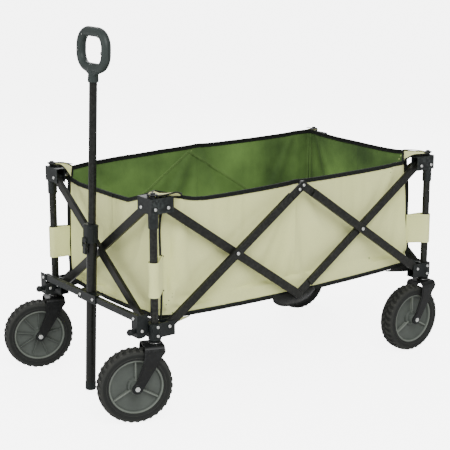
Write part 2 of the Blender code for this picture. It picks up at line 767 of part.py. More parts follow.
def lock_lever():
    """The lever that frees the telescoping tube. It turns on a pin below the collar."""
    back, front = 0.0038, -0.0030
    foot = LEVER_FOOT - LEVER_AXIS
    outline = [(front, 0.0035), (front, foot + 0.0015), (front + 0.0015, foot)]
    outline += [(back - 0.0010, foot), (back - 0.0020, -0.004), (back - 0.0015, 0.0035)]
    body = along_y(prism(outline, -0.0063, 0.0063))
    bmesh.ops.recalc_face_normals(body, faces=body.faces)
    return joined(body, along_y(cylinder(LEVER_PIN_R, -0.0095, 0.0095)))


def grip():
    """A closed ring grip in the plane across the wagon, with a neck that holds the tube."""
    outer = rounded_rectangle(GRIP_WIDTH / 2, GRIP_HEIGHT / 2, 0.046, 7)
    inner = rounded_rectangle(0.0430, 0.0285, 0.020, 5)
    ring = across(prism(outer, -GRIP_THICK / 2, GRIP_THICK / 2, [inner]))
    foot = SLIDER[1] - GRIP_CENTRE - 0.022
    neck = open_lathe(
        [
            (0, foot),
            (0.0128, foot),
            (0.0128, foot + 0.004),
            (0.0118, foot + 0.020),
            (0.0100, -GRIP_HEIGHT / 2 + 0.014),
            (0, -GRIP_HEIGHT / 2 + 0.014),
        ],
        ROUND,
    )
    socket = hole(SLIDER_R, foot - 0.01, SLIDER[1] - GRIP_CENTRE + GAP, ROUND)
    return cut(joined(ring, neck), socket)


def slider_tube():
    """The inner tube of the handle, closed at the top under the grip."""
    low, high = SLIDER
    profile = [(0, high), (SLIDER_R, high), (SLIDER_R, low), (SLIDER_R - 0.0012, low)]
    profile += [(SLIDER_R - 0.0012, high - 0.002), (0, high - 0.002)]
    return open_lathe(profile, ROUND)


def on_handle(along):
    """The world point at this distance up the handle's centre line from the crossbar."""
    return (
        HANDLE_X + along * math.sin(HANDLE_LEAN),
        0,
        CROSS_Z + along * math.cos(HANDLE_LEAN),
    )


def make_handle(surfaces):
    steel, plastic = surfaces["frame_steel"], surfaces["black_plastic"]
    lean = (0, HANDLE_LEAN, 0)
    for side, sy in (("near", -1), ("far", 1)):
        swing_y = sy * (POST_Y - SWING_IN)
        bracket = mirrored(swing_bracket(side == "near"), 1, -sy)
        place(f"swing_bracket_{side}", bracket, surfaces["bracket_steel"], (SWING_X, swing_y, SWING_Z))
        knob_at = (FRONT_PLATE_X[0] - GAP, swing_y, SWING_Z - 0.001)
        place(f"swing_knob_{side}", swing_knob(), plastic, knob_at)
        beam = mirrored(half_crossbar(side == "far"), 1, sy)
        place(f"crossbar_{side}", beam, steel, (0, sy * CENTRE_PIN_Y, CROSS_Z))
    place("crossbar_centre", centre_bracket(), surfaces["bracket_steel"], (0, 0, CROSS_Z))
    place("handle_lower_tube", lower_handle_tube(), steel, on_handle(0), lean)
    place("handle_collar", collar(), plastic, on_handle(0), lean)
    lever_axis = Matrix.Rotation(HANDLE_LEAN, 4, "Y") @ Vector((LEVER_X, 0, LEVER_AXIS))
    place("lock_lever", lock_lever(), plastic, Vector(on_handle(0)) + lever_axis, lean)
    place("handle_upper_tube", slider_tube(), steel, on_handle(0), lean)
    place("handle_grip", grip(), plastic, on_handle(GRIP_CENTRE), lean)


def main():
    clear_scene()
    surfaces = make_materials()
    make_corners(surfaces)
    make_bars(surfaces["frame_steel"])
    make_wheels(surfaces)
    make_bag(surfaces)
    make_handle(surfaces)


main()
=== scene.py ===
"""Looks of the folding camp wagon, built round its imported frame. Metres, +Z up, near side -Y."""

import json
import math

import bmesh
import bpy
import numpy as np
from mathutils import Matrix, Vector, noise


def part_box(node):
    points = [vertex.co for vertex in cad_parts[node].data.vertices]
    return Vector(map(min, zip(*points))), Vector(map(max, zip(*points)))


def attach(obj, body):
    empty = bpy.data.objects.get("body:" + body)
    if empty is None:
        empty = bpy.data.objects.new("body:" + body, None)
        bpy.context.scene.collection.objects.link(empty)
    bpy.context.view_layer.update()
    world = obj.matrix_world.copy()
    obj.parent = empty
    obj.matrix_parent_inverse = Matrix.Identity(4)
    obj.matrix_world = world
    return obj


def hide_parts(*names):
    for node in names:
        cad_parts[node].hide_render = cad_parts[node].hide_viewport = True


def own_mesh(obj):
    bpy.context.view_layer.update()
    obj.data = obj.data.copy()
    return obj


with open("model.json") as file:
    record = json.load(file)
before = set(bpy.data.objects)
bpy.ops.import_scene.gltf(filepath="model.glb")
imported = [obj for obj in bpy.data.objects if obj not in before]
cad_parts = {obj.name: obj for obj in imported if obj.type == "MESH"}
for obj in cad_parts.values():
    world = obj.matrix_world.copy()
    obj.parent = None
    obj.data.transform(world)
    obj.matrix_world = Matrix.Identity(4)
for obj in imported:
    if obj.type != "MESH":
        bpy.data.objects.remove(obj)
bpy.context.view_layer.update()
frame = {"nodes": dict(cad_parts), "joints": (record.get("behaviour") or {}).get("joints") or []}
JOINTS = {joint["name"]: joint for joint in frame["joints"]}

# ---------------------------------------------------------------- places, from the frame
WHEEL_R = 0.089
SIDE_PIN = Vector(JOINTS["fold"]["pos_m"])
TOP_PIN = Vector(JOINTS["fold_top_fn"]["pos_m"])
END_PIN = Vector(JOINTS["fold_front"]["pos_m"])
SPAN, POST_X, POST_Y = -SIDE_PIN.x, -END_PIN.x, -SIDE_PIN.y
END_SPAN = -END_PIN.y
LOW, TOP = SIDE_PIN.z, TOP_PIN.z
GROUND = JOINTS["wheel_spin_rn"]["pos_m"][2] - WHEEL_R
BAR_LENGTH = math.hypot(SPAN, TOP - LOW)
BAR_HEIGHT, BAR_DEPTH, LAYER, LAP = 0.021, 0.009, 0.0005, 0.042
POST_R, INNER_R, SLEEVE_R, HUB_R = 0.00925, 0.0069, 0.0115, 0.0145
CORNERS = {"fn": (-1, -1), "ff": (-1, 1), "rn": (1, -1), "rf": (1, 1)}
SIDES = (("near", -1), ("far", 1))

# the bag: half length and half width at its floor, and where its rim turns the corner
BAG_X, BAG_Y = 0.400, 0.205
RIM_SIDE_X, RIM_SIDE_Y = 0.338, 0.2065
RIM_END_X, RIM_END_Y = 0.395, 0.180
CUTS = {"fn": (0.338, 0.178), "ff": (0.386, 0.199), "rn": (0.366, 0.1775), "rf": (0.386, 0.197)}
BAG_THICK, FOOT_R = 0.0016, 0.012
RIM_TAPE, FOOT_TAPE, TAPE_THICK, TAPE_FACE = 0.0085, 0.0095, 0.0046, 0.0021


def up(height):
    """The frame's z at this height above the ground."""
    return GROUND + height


def standing(*profile):
    """A profile whose heights are above the ground, in the frame's z."""
    return [(radius, up(height)) for radius, height in profile]


# ---------------------------------------------------------------- node materials
def shader(name, roughness=0.5, metallic=0.0, specular=0.5, sheen=0.0):
    """A Principled material, and a function that adds a node to it and links its inputs."""
    material = bpy.data.materials.new(name)
    material.use_nodes = True
    tree = material.node_tree
    principled = tree.nodes["Principled BSDF"]
    principled.inputs["Roughness"].default_value = roughness
    principled.inputs["Metallic"].default_value = metallic
    principled.inputs["Specular IOR Level"].default_value = specular
    principled.inputs["Sheen Weight"].default_value = sheen
    principled.inputs["Sheen Roughness"].default_value = 0.45

    def add(kind, *inputs, **settings):
        node = tree.nodes.new("ShaderNode" + kind)
        for key, value in settings.items():
            setattr(node, key, value)
        for socket, value in inputs:
            if isinstance(value, bpy.types.NodeSocket):
                tree.links.new(value, node.inputs[socket])
            else:
                node.inputs[socket].default_value = value
        return node

    def feed(socket, value):
        tree.links.new(value, principled.inputs[socket])

    return material, add, feed


def linear(red, green, blue):
    """An sRGB colour of 0 to 255 as linear light."""
    values = (channel / 255 for channel in (red, green, blue))
    return (*(v / 12.92 if v <= 0.04045 else ((v + 0.055) / 1.055) ** 2.4 for v in values), 1.0)


def scaled(colour, factor):
    return (*(min(1.0, channel * factor) for channel in colour[:3]), 1.0)


def mixed(add, factor, first, second):
    """The result socket of a colour mix."""
    node = add("Mix", (0, factor), (6, first), (7, second), data_type="RGBA")
    return node.outputs[2]


def ramp(add, value, low, high):
    """Stretches a value so that low becomes 0 and high becomes 1."""
    return add("MapRange", (0, value), (1, low), (2, high)).outputs[0]


def cloudy(add, scale, detail):
    """A soft noise over the object, from 0 to 1."""
    place = add("TexCoord").outputs["Object"]
    return add("TexNoise", ("Vector", place), ("Scale", scale), ("Detail", detail)).outputs[0]


def surface(add, feed, gloss, low, high, height, depth, strength):
    """Roughness that runs from low to high with gloss, and a bump from height."""
    feed("Roughness", add("MapRange", (0, gloss), (3, low), (4, high)).outputs[0])
    feed("Normal", add("Bump", ("Height", height), ("Distance", depth), ("Strength", strength)).outputs[0])


def coat(name, colour, roughness, grain=1400.0, depth=0.00003, wear_and_highlight=0.35, wear_and_highlight_colour=(92, 95, 92)):
    """Painted or moulded hard material: grain, uneven gloss, and lighter edges that are partly wear and partly
    a painted highlight.
    """
    material, add, feed = shader(name, roughness, specular=0.22)
    patch, fine, scuff = cloudy(add, 38.0, 4.0), cloudy(add, grain, 3.0), cloudy(add, 160.0, 6.0)
    base = mixed(add, patch, scaled(colour, 0.78), scaled(colour, 1.25))
    # the lighter colour on convex edges is partly wear and partly a painted highlight of the light the edges
    # catch
    edge = ramp(add, add("NewGeometry").outputs["Pointiness"], 0.53, 0.66)
    worn_and_highlit_edge = add("Math", (0, edge), (1, ramp(add, scuff, 0.42, 0.70)), operation="MULTIPLY").outputs[0]
    share = add("Math", (0, worn_and_highlit_edge), (1, wear_and_highlight), operation="MULTIPLY").outputs[0]
    feed("Base Color", mixed(add, share, base, linear(*wear_and_highlight_colour)))
    surface(add, feed, scuff, roughness - 0.08, roughness + 0.12, fine, depth, 0.6)
    return material


def steel(name):
    """Bright zinc plating with fine turned lines."""
    material, add, feed = shader(name, 0.3, metallic=1.0)
    cloud = cloudy(add, 300.0, 4.0)
    feed("Base Color", mixed(add, cloud, linear(186, 188, 186), linear(232, 233, 230)))
    surface(add, feed, cloud, 0.22, 0.42, cloud, 0.00005, 0.4)
    return material


def rubber(name, colour):
    """Tyre rubber: matte, with lighter grey painted on its raised parts as a highlight."""
    material, add, feed = shader(name, 0.8, specular=0.35)
    cloud, fine = cloudy(add, 55.0, 6.0), cloudy(add, 900.0, 4.0)
    raised = ramp(add, add("NewGeometry").outputs["Pointiness"], 0.50, 0.60)
    # the lighter grey on the raised parts is a painted highlight of the lit tread tops
    tread_highlight = add("Math", (0, raised), (1, cloud), operation="MULTIPLY").outputs[0]
    tread_highlight_share = add("Math", (0, tread_highlight), (1, 0.55), operation="MULTIPLY").outputs[0]
    base = mixed(add, cloud, scaled(colour, 0.7), scaled(colour, 1.35))
    feed("Base Color", mixed(add, tread_highlight_share, base, linear(96, 96, 90)))
    surface(add, feed, cloud, 0.66, 0.92, fine, 0.0001, 0.5)
    return material


def woven(name, colour, thread=0.0011, depth=0.00018, patch_strength=0.10, roughness=0.86, sheen=0.25, patch_tone_and_shade=None,
          even=0.45):
    """Plain-weave cloth. The threads run along the mesh's UV, which is in metres. Cloudy patches mix in a
    second colour: random tone on most cloths, painted light and shade on the lining.
    """
    material, add, feed = shader(name, roughness, specular=0.22, sheen=sheen)
    uv = add("TexCoord").outputs["UV"]
    place = add("TexCoord").outputs["Object"]
    parts = add("SeparateXYZ", (0, uv))
    threads = []
    for axis in (0, 1):
        phase = add("Math", (0, parts.outputs[axis]), (1, math.pi / thread), operation="MULTIPLY")
        wave = add("Math", (0, phase.outputs[0]), operation="SINE")
        threads.append(add("Math", (0, wave.outputs[0]), operation="ABSOLUTE").outputs[0])
    over = add("TexChecker", ("Vector", uv), ("Scale", 1 / thread)).outputs["Fac"]
    warp = add("Mix", (0, over), (2, threads[0]), (3, threads[1])).outputs[0]
    # cloudy patches of a second colour: random tone, except on the lining, where they are painted light and
    # shade
    cloud, slub = cloudy(add, 5.5, 5.0), cloudy(add, 240.0, 3.0)
    other = patch_tone_and_shade or scaled(colour, 1 - 1.6 * patch_strength)
    base = mixed(add, ramp(add, cloud, 0.34, 0.68), scaled(other, 1.0), scaled(colour, 1 + patch_strength / 2))
    fleck = mixed(add, ramp(add, slub, 0.30, 0.75), scaled(colour, 0.93), scaled(colour, 1.06))
    body = mixed(add, even, base, fleck)
    shade = add("MapRange", (0, warp), (3, 0.86), (4, 1.03)).outputs[0]
    lit = add("VectorMath", (0, body), (1, add("CombineXYZ", (0, shade), (1, shade), (2, shade)).outputs[0]),
              operation="MULTIPLY").outputs[0]
    feed("Base Color", lit)
    crease = add("TexNoise", ("Vector", place), ("Scale", 26.0), ("Detail", 5.0),
                 ("Distortion", 0.8)).outputs[0]
    soft = add("Bump", ("Height", crease), ("Distance", 0.0022), ("Strength", 0.35))
    fine = add("Bump", ("Height", warp), ("Distance", depth), ("Strength", 0.8), ("Normal", soft.outputs[0]))
    feed("Normal", fine.outputs[0])
    return material


def make_materials():
    return {
        "bar": coat("bar_paint", linear(17, 18, 15), 0.34, wear_and_highlight=0.5, wear_and_highlight_colour=(96, 98, 90)),
        "bracket": coat("bracket_paint", linear(19, 23, 23), 0.40, wear_and_highlight=0.5, wear_and_highlight_colour=(80, 86, 84)),
        "fork": coat("fork_paint", linear(16, 17, 17), 0.34, wear_and_highlight=0.35, wear_and_highlight_colour=(78, 80, 80)),
        "tube": coat("tube_paint", linear(21, 22, 20), 0.28, wear_and_highlight=0.3, wear_and_highlight_colour=(78, 80, 76)),
        "plastic": coat("moulded_plastic", linear(22, 26, 26), 0.46, grain=2600, depth=0.00005, wear_and_highlight=0.2),
        "grip": coat("grip_plastic", linear(46, 53, 51), 0.42, grain=3000, depth=0.00004, wear_and_highlight=0.15),
        "hub": coat("hub_plastic", linear(76, 81, 76), 0.45, grain=1800, depth=0.00004, wear_and_highlight=0.25,
                    wear_and_highlight_colour=(128, 132, 126)),
        # rim grey, also used on the plain faces' ribs as a painted highlight of their lit tops
        "rim": coat("rim_edge", linear(104, 109, 102), 0.4, grain=1800, depth=0.00003, wear_and_highlight=0.2,
                    wear_and_highlight_colour=(150, 154, 147)),
        "rivet": steel("zinc_rivet"),
        "tyre": rubber("tyre_rubber_matte", linear(24, 26, 24)),
        "canvas": woven("cream_canvas", linear(233, 236, 168), patch_tone_and_shade=linear(220, 225, 148), sheen=0.1),
        # the lining's colour is its lit green and its patch colour its shaded green: its patches are painted
        # light and shade
        "lining": woven("green_lining", linear(112, 146, 76), depth=0.0001, roughness=0.62,
                        patch_tone_and_shade=linear(50, 72, 36), sheen=0.1, even=0.12),
        "binding": woven("black_binding", linear(13, 17, 13), thread=0.0016, depth=0.0003, patch_strength=0.12,
                         sheen=0.05),
        "pad": woven("green_pad", linear(76, 104, 48), depth=0.0002, patch_tone_and_shade=linear(56, 80, 36)),
        "under": woven("black_underside", linear(20, 22, 20), thread=0.0014, depth=0.0002, patch_strength=0.12),
        "thread": woven("cream_thread", linear(196, 199, 150), thread=0.0006, patch_strength=0.06),
        "dark_thread": woven("dark_thread", linear(30, 36, 30), thread=0.0006, patch_strength=0.06),
        "green_thread": woven("green_thread", linear(122, 150, 84), thread=0.0006, patch_strength=0.06),
        "cord": woven("braided_cord", linear(26, 28, 26), thread=0.0012, depth=0.0004, patch_strength=0.1),
    }


M = make_materials()


# ---------------------------------------------------------------- shapes as (vertices, faces)
def turned(profile, steps=40, closed=False):
    """A profile of (radius, height), from low to high on its outside, turned round z."""
    verts, rings = [], []
    for radius, height in profile:
        if radius == 0:
            rings.append([len(verts)])
            verts.append((0, 0, height))
            continue
        rings.append(range(len(verts), len(verts) + steps))
        turns = (math.tau * i / steps for i in range(steps))
        verts += [(radius * math.cos(t), radius * math.sin(t), height) for t in turns]
    faces = []
    for a, b in zip(rings, rings[1:] + ([rings[0]] if closed else [])):
        for i in range(steps):
            j = (i + 1) % steps
            quad = (a[i % len(a)], a[j % len(a)], b[j % len(b)], b[i % len(b)])
            faces.append(tuple(dict.fromkeys(quad)))
    return verts, faces


def plate(outline, low, high):
    """A flat outline, counter-clockwise, raised from low to high along z."""
    count = len(outline)
    verts = [(x, y, low) for x, y in outline] + [(x, y, high) for x, y in outline]
    faces = [tuple(reversed(range(count))), tuple(range(count, 2 * count))]
    for i in range(count):
        j = (i + 1) % count
        faces.append((i, j, count + j, count + i))
    return verts, faces


def block(x, y, z):
    return plate([(x[0], y[0]), (x[1], y[0]), (x[1], y[1]), (x[0], y[1])], z[0], z[1])


def arc(centre, radius, start, end, steps):
    turns = (math.radians(start + (end - start) * i / steps) for i in range(steps + 1))
    return [(centre[0] + radius * math.cos(t), centre[1] + radius * math.sin(t)) for t in turns]


def swept(path, section, closed=False, side=None):
    """A section of (across, outward) points carried along a path of Vectors."""
    count, size = len(path), len(section)
    verts, normal = [], Vector(side) if side else None
    for i, point in enumerate(path):
        before = path[i - 1] if closed or i else point
        after = path[(i + 1) % count] if closed or i + 1 < count else point
        along = (after - before).normalized()
        if normal is None:
            normal = along.orthogonal()
        normal = (normal - along * normal.dot(along)).normalized()
        across = along.cross(normal)
        verts += [tuple(point + normal * a + across * b) for a, b in section]
    faces = []
    for i in range(count if closed else count - 1):
        a, b = i * size, (i + 1) % count * size
        for k in range(size):
            m = (k + 1) % size
            faces.append((a + k, a + m, b + m, b + k))
    if not closed:
        faces.append(tuple(reversed(range(size))))
        faces.append(tuple(range((count - 1) * size, count * size)))
    return verts, faces


def ring_section(radius, steps=10):
    return arc((0, 0), radius, 0, 360 - 360 / steps, steps - 1)


def tape_section(width, thick, edge=0.35):
    """A flat tape with rounded sides: width across, thick along the normal."""
    w, t = width / 2, thick / 2
    return [(-t, -w * (1 - edge)), (-t * 0.4, -w), (t * 0.4, -w), (t, -w * (1 - edge)),
            (t, w * (1 - edge)), (t * 0.4, w), (-t * 0.4, w), (-t, w * (1 - edge))][::-1]


def border_of(rows, columns):
    """The numbers of the points round the edge of a rows by columns grid."""
    loop = list(range(columns)) + [r * columns + columns - 1 for r in range(1, rows)]
    loop += [(rows - 1) * columns + c for c in range(columns - 2, -1, -1)]
    return loop + [r * columns for r in range(rows - 2, 0, -1)]


def sheet(grid, thick):
    """A cloth sheet from a rows by columns array of points: outer faces, inner faces and edges."""
    rows, columns = grid.shape[:2]
    down = np.gradient(grid, axis=0)
    along = np.gradient(grid, axis=1)
    normal = np.cross(down, along)
    normal /= np.maximum(np.linalg.norm(normal, axis=2, keepdims=True), 1e-12)
    half = normal * thick / 2
    verts = np.concatenate([(grid + half).reshape(-1, 3), (grid - half).reshape(-1, 3)])
    outer, inner, edges = [], [], []
    total = rows * columns
    for r in range(rows - 1):
        for c in range(columns - 1):
            a = r * columns + c
            quad = (a, a + columns, a + columns + 1, a + 1)
            outer.append(quad)
            inner.append(tuple(i + total for i in reversed(quad)))
    loop = border_of(rows, columns)
    for a, b in zip(loop, loop[1:] + loop[:1]):
        edges.append((a, b, b + total, a + total))
    return verts.tolist(), outer, inner, edges


class Piece:
    """Gathers shapes, each with its own material, into one mesh object."""

    def __init__(self, *materials):
        self.materials = [M[name] for name in materials]
        self.names = list(materials)
        self.verts, self.faces, self.slots, self.uvs = [], [], [], []

    def add(self, shape, material=None, matrix=None, uv=None):
        verts, faces = shape
        index = self.names.index(material) if material else 0
        first = len(self.verts)
        flip = matrix is not None and matrix.determinant() < 0
        for k, vert in enumerate(verts):
            point = matrix @ Vector(vert) if matrix is not None else Vector(vert)
            self.verts.append(point)
            self.uvs.append(uv[k] if uv is not None else None)
        for face in faces:
            corners = [first + i for i in face]
            self.faces.append(corners[::-1] if flip else corners)
            self.slots.append(index)
        return self

    def cloth(self, grid, thick, outer, inner=None, edge=None, threads=None):
        """Adds a sheet of cloth. Its inner faces and its edges may have their own materials."""
        verts, *groups = sheet(grid, thick)
        threads = threads or weave(along_length(grid[0]), along_length(grid[:, 0]))
        first = len(self.verts)
        self.add((verts, groups[0]), outer, uv=threads * 2)
        for faces, material in zip(groups[1:], (inner or outer, edge or outer)):
            self.faces += [[first + i for i in face] for face in faces]
            self.slots += [self.names.index(material)] * len(faces)

    def sew(self, line, normal, material, **sizes):
        """Adds a run of stitches along a line of points."""
        for shape in stitches(line, normal, **sizes):
            self.add(shape, material)

    def build(self, name, body, *nodes, slot=None, bevel=0.0, angle=38, smooth=40):
        mesh = bpy.data.meshes.new(name)
        mesh.from_pydata(self.verts, [], self.faces)
        for material in self.materials:
            mesh.materials.append(material)
        mesh.polygons.foreach_set("material_index", self.slots)
        layer = mesh.uv_layers.new(name="threads")
        for polygon in mesh.polygons:
            drop = max(range(3), key=lambda axis: abs(polygon.normal[axis]))
            keep = [axis for axis in range(3) if axis != drop]
            for loop in polygon.loop_indices:
                vertex = mesh.loops[loop].vertex_index
                own = self.uvs[vertex]
                point = mesh.vertices[vertex].co
                layer.data[loop].uv = own if own is not None else (point[keep[0]], point[keep[1]])
        mesh.shade_smooth()
        mesh.set_sharp_from_angle(angle=math.radians(smooth))
        obj = bpy.data.objects.new(name, mesh)
        bpy.context.scene.collection.objects.link(obj)
        if bevel:
            edge = obj.modifiers.new("edges", "BEVEL")
            edge.width, edge.segments, edge.limit_method = bevel, 2, "ANGLE"
            edge.angle_limit = math.radians(angle)
            edge.harden_normals = True
        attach(obj, body)
        if nodes:
            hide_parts(*nodes)
        return obj


def dome(radius=0.0042, height=0.0029):
    """A rivet's domed head, standing on z = 0."""
    profile = [(0, -0.0004), (radius, -0.0004), (radius, height * 0.46), (radius * 0.87, height * 0.75)]
    profile += [(radius * 0.55, height * 0.94), (0, height)]
    return turned(profile, 20)


def facing(point, direction):
    """The matrix that puts an upright shape's z on this direction at this point."""
    quaternion = Vector(direction).to_track_quat("Z", "Y")
    return Matrix.Translation(point) @ quaternion.to_matrix().to_4x4()


def corner_matrix(corner):
    """Maps x and y counted from the post towards the wagon's middle onto the frame."""
    sx, sy = CORNERS[corner]
    return Matrix.Translation((sx * POST_X, sy * POST_Y, 0)) @ Matrix.Diagonal((-sx, -sy, 1, 1))


# ---------------------------------------------------------------- scissor bars
def bar(name, body, start, end, outward, outer, lap=None):
    """A scissor bar from pin to pin with round ends. A lapped end is half as thick."""
    along = (end - start).normalized()
    outward = Vector(outward)
    turn = Matrix((along, outward.cross(along), outward)).transposed().to_4x4()
    matrix = Matrix.Translation(start) @ turn
    low, high = (LAYER, LAYER + BAR_DEPTH) if outer else (-LAYER - BAR_DEPTH, -LAYER)
    half, length = BAR_HEIGHT / 2, BAR_LENGTH
    piece = Piece("bar", "rivet", "plastic")
    near_end = arc((0, 0), half, 90, 270, 12)
    if lap:
        stop = length - LAP
        middle = (low + high) / 2
        tongue = (middle, high) if lap == "over" else (low, middle)
        piece.add(plate(near_end + [(stop, -half), (stop, half)], low, high), matrix=matrix)
        tip = [(stop - 0.002, half)] + [(stop - 0.002, -half)] + arc((length, 0), half, -90, 90, 12)
        piece.add(plate(tip, tongue[0], tongue[1]), matrix=matrix)
    else:
        piece.add(plate(near_end + arc((length, 0), half, -90, 90, 12), low, high), matrix=matrix)
    if outer:
        piece.add(dome(0.0046), "rivet", matrix @ Matrix.Translation((length / 2, 0, high)))
        washer = turned([(0, 0), (0.0085, 0), (0.0085, 0.0009), (0, 0.0009)], 24)
        piece.add(washer, "plastic", matrix @ Matrix.Translation((length / 2, 0, low - 0.0009)))
    else:
        flip = Matrix.Diagonal((1, 1, -1, 1))
        piece.add(dome(0.0046), "rivet", matrix @ Matrix.Translation((length / 2, 0, low)) @ flip)
    if lap == "over" and outer:
        for back in (0.0, 0.0155):
            piece.add(dome(0.0040), "rivet", matrix @ Matrix.Translation((length - back, 0, high)))
    if lap == "under":
        flip = Matrix.Diagonal((1, 1, -1, 1))
        piece.add(dome(0.0040), "rivet", matrix @ Matrix.Translation((length, 0, low)) @ flip)
    return piece.build(f"{name}_shell", body, name, slot="frame_steel", bevel=0.0021)


def make_bars():
    for side, sy in SIDES:
        for end, sx, lap in (("front", -1, "over"), ("rear", 1, "under")):
            low = Vector((sx * SPAN, sy * POST_Y, LOW))
            top = Vector((sx * SPAN, sy * POST_Y, TOP))
            stem = f"{side}_{end}"
            outward = (0, sy, 0)
            bar(f"bar_{stem}_outer", f"side_{stem}_outer", low, Vector((0, low.y, TOP)), outward, True, lap)
            bar(f"bar_{stem}_inner", f"side_{stem}_inner", top, Vector((0, low.y, LOW)), outward, False, lap)
    for end, sx in (("front", -1), ("rear", 1)):
        x = sx * POST_X
        low, high = Vector((x, -END_SPAN, LOW)), Vector((x, END_SPAN, TOP))
        bar(f"bar_{end}_outer", f"end_{end}_outer", low, high, (sx, 0, 0), True)
        low, high = Vector((x, END_SPAN, LOW)), Vector((x, -END_SPAN, TOP))
        bar(f"bar_{end}_inner", f"end_{end}_inner", high, low, (sx, 0, 0), False)


# ---------------------------------------------------------------- refined CAD shapes
def refined(node, body, material, width=0.0008, slot="bracket_steel", domes=()):
    """A copy of a CAD node with clean faces, rounded edges and bright rivet heads."""
    bm = bmesh.new()
    bm.from_mesh(frame["nodes"][node].data)
    bmesh.ops.remove_doubles(bm, verts=bm.verts, dist=1e-6)
    bmesh.ops.dissolve_limit(bm, angle_limit=math.radians(1.0), verts=bm.verts, edges=bm.edges)
    bm.normal_update()
    verts = [vert.co.copy() for vert in bm.verts]
    faces = [[vert.index for vert in face.verts] for face in bm.faces]
    bm.free()
    piece = Piece(material, "rivet")
    piece.add((verts, faces), material)
    for point, direction, radius in domes:
        piece.add(dome(radius), "rivet", facing(point, direction))
    return piece.build(f"{node}_shell", body, node, slot=slot, bevel=width, angle=55, smooth=50)


def make_corners():
    wall = 0.0120
    side_pin, end_pin = POST_X - SPAN, POST_Y - END_SPAN
    for corner, (sx, sy) in CORNERS.items():
        place = corner_matrix(corner)

        def head(x, y, z, nx, ny, radius=0.0042):
            return place @ Vector((x, y, z)), (-sx * nx, -sy * ny, 0), radius

        low_pins = [head(side_pin, -wall, LOW, 0, -1), head(-wall, end_pin, LOW, -1, 0),
                    head(0, -HUB_R + 0.0006, up(0.2272), 0, -1, 0.0039),
                    head(0, -HUB_R + 0.0006, up(0.2058), 0, -1, 0.0039),
                    head(side_pin, wall, LOW, 0, 1), head(wall, end_pin, LOW, 1, 0)]
        top_pins = [head(side_pin, -wall, TOP, 0, -1), head(-wall, end_pin, TOP, -1, 0),
                    head(-0.0015, -wall, TOP - 0.0005, 0, -1, 0.0039),
                    head(side_pin, wall, TOP, 0, 1), head(wall, end_pin, TOP, 1, 0)]
        refined(f"bottom_bracket_{corner}", f"frame_{corner}", "bracket", domes=low_pins)
        refined(f"top_bracket_{corner}", f"top_{corner}", "bracket", domes=top_pins)
        axis = Matrix.Translation((sx * POST_X, sy * POST_Y, 0))
        lip = 0.0007
        barrel = standing((0, 0.1945), (HUB_R - 0.001, 0.1945), (HUB_R + lip, 0.1958), (HUB_R + lip, 0.2035),
                          (HUB_R + 0.0002, 0.2045), (HUB_R + 0.0002, 0.2342), (POST_R + 0.0004, 0.2350),
                          (0, 0.2350))
        Piece("bracket").add(turned(barrel, 48), matrix=axis).build(
            f"hub_barrel_{corner}", f"frame_{corner}", slot="bracket_steel")
        sleeve = standing((POST_R + 0.0003, 0.4575), (SLEEVE_R, 0.4578), (SLEEVE_R + 0.0003, 0.4590),
                          (SLEEVE_R + 0.0003, 0.4915), (POST_R + 0.0003, 0.4915))
        Piece("bracket").add(turned(sleeve, 48, closed=True), matrix=axis).build(
            f"post_sleeve_{corner}", f"top_{corner}", slot="bracket_steel")
        post = standing((0, 0.2162), (POST_R - 0.0008, 0.2162), (POST_R, 0.2170), (POST_R, 0.4820),
                        (POST_R - 0.0007, 0.4828), (INNER_R + 0.0003, 0.4828), (INNER_R + 0.0003, 0.4700),
                        (0, 0.4700))
        Piece("bar").add(turned(post, 40), matrix=axis).build(
            f"lower_post_{corner}_tube", f"frame_{corner}", f"lower_post_{corner}", slot="frame_steel")
        cap = standing((0, 0.2500), (INNER_R, 0.2500), (INNER_R, 0.5278), (0.0060, 0.5286), (0.0056, 0.5308),
                       (0.0080, 0.5325), (0.0104, 0.5338), (0.0109, 0.5347), (0.0106, 0.5358),
                       (0.0092, 0.5362), (0.0058, 0.5363), (0.0053, 0.5385), (0.0044, 0.5396), (0, 0.5400))
        Piece("plastic").add(turned(cap, 40), matrix=axis).build(
            f"inner_post_{corner}_tube", f"top_{corner}", f"inner_post_{corner}", slot="frame_steel")


# ---------------------------------------------------------------- forks and wheels
def wheel_pose(corner):
    """The caster's frame at the post, and the wheel's frame with z on its axle and y up."""
    sx, sy = CORNERS[corner]
    spin = JOINTS[f"wheel_spin_{corner}"]
    centre = Vector(spin["pos_m"])
    post = Vector((sx * POST_X, sy * POST_Y, 0))
    trail = centre - post
    turn = math.atan2(-trail.y, -trail.x)
    caster = Matrix.Translation(post) @ Matrix.Rotation(turn, 4, "Z")
    axle = caster.to_3x3() @ Vector((0, -1, 0))
    upright = Matrix((Vector((0, 0, 1)).cross(axle), Vector((0, 0, 1)), axle)).transposed().to_4x4()
    return caster, Matrix.Translation(centre) @ upright, math.hypot(trail.x, trail.y)


def leg_outline(trail, grow=0.0, top=0.1790):
    """A fork leg from the side: a broad shoulder that narrows down to the axle's eye."""
    g = grow
    front = [(-0.0305 - g, top), (-0.0312 - g, 0.168), (-0.0322 - g, 0.154), (-0.0350 - g, 0.1460),
             (-0.0521 - g, 0.104)]
    eye = arc((-trail, WHEEL_R), 0.0128 + g, 140, 325, 16)
    rear = [(-0.0027 + g, 0.1385), (0.0080 + g, 0.1585)]
    shoulder = [(0.0130 + g, 0.1645), (0.0165 + g, 0.1690), (0.0183 + g, 0.1735), (0.0180 + g, top)]
    return front + eye + rear + shoulder


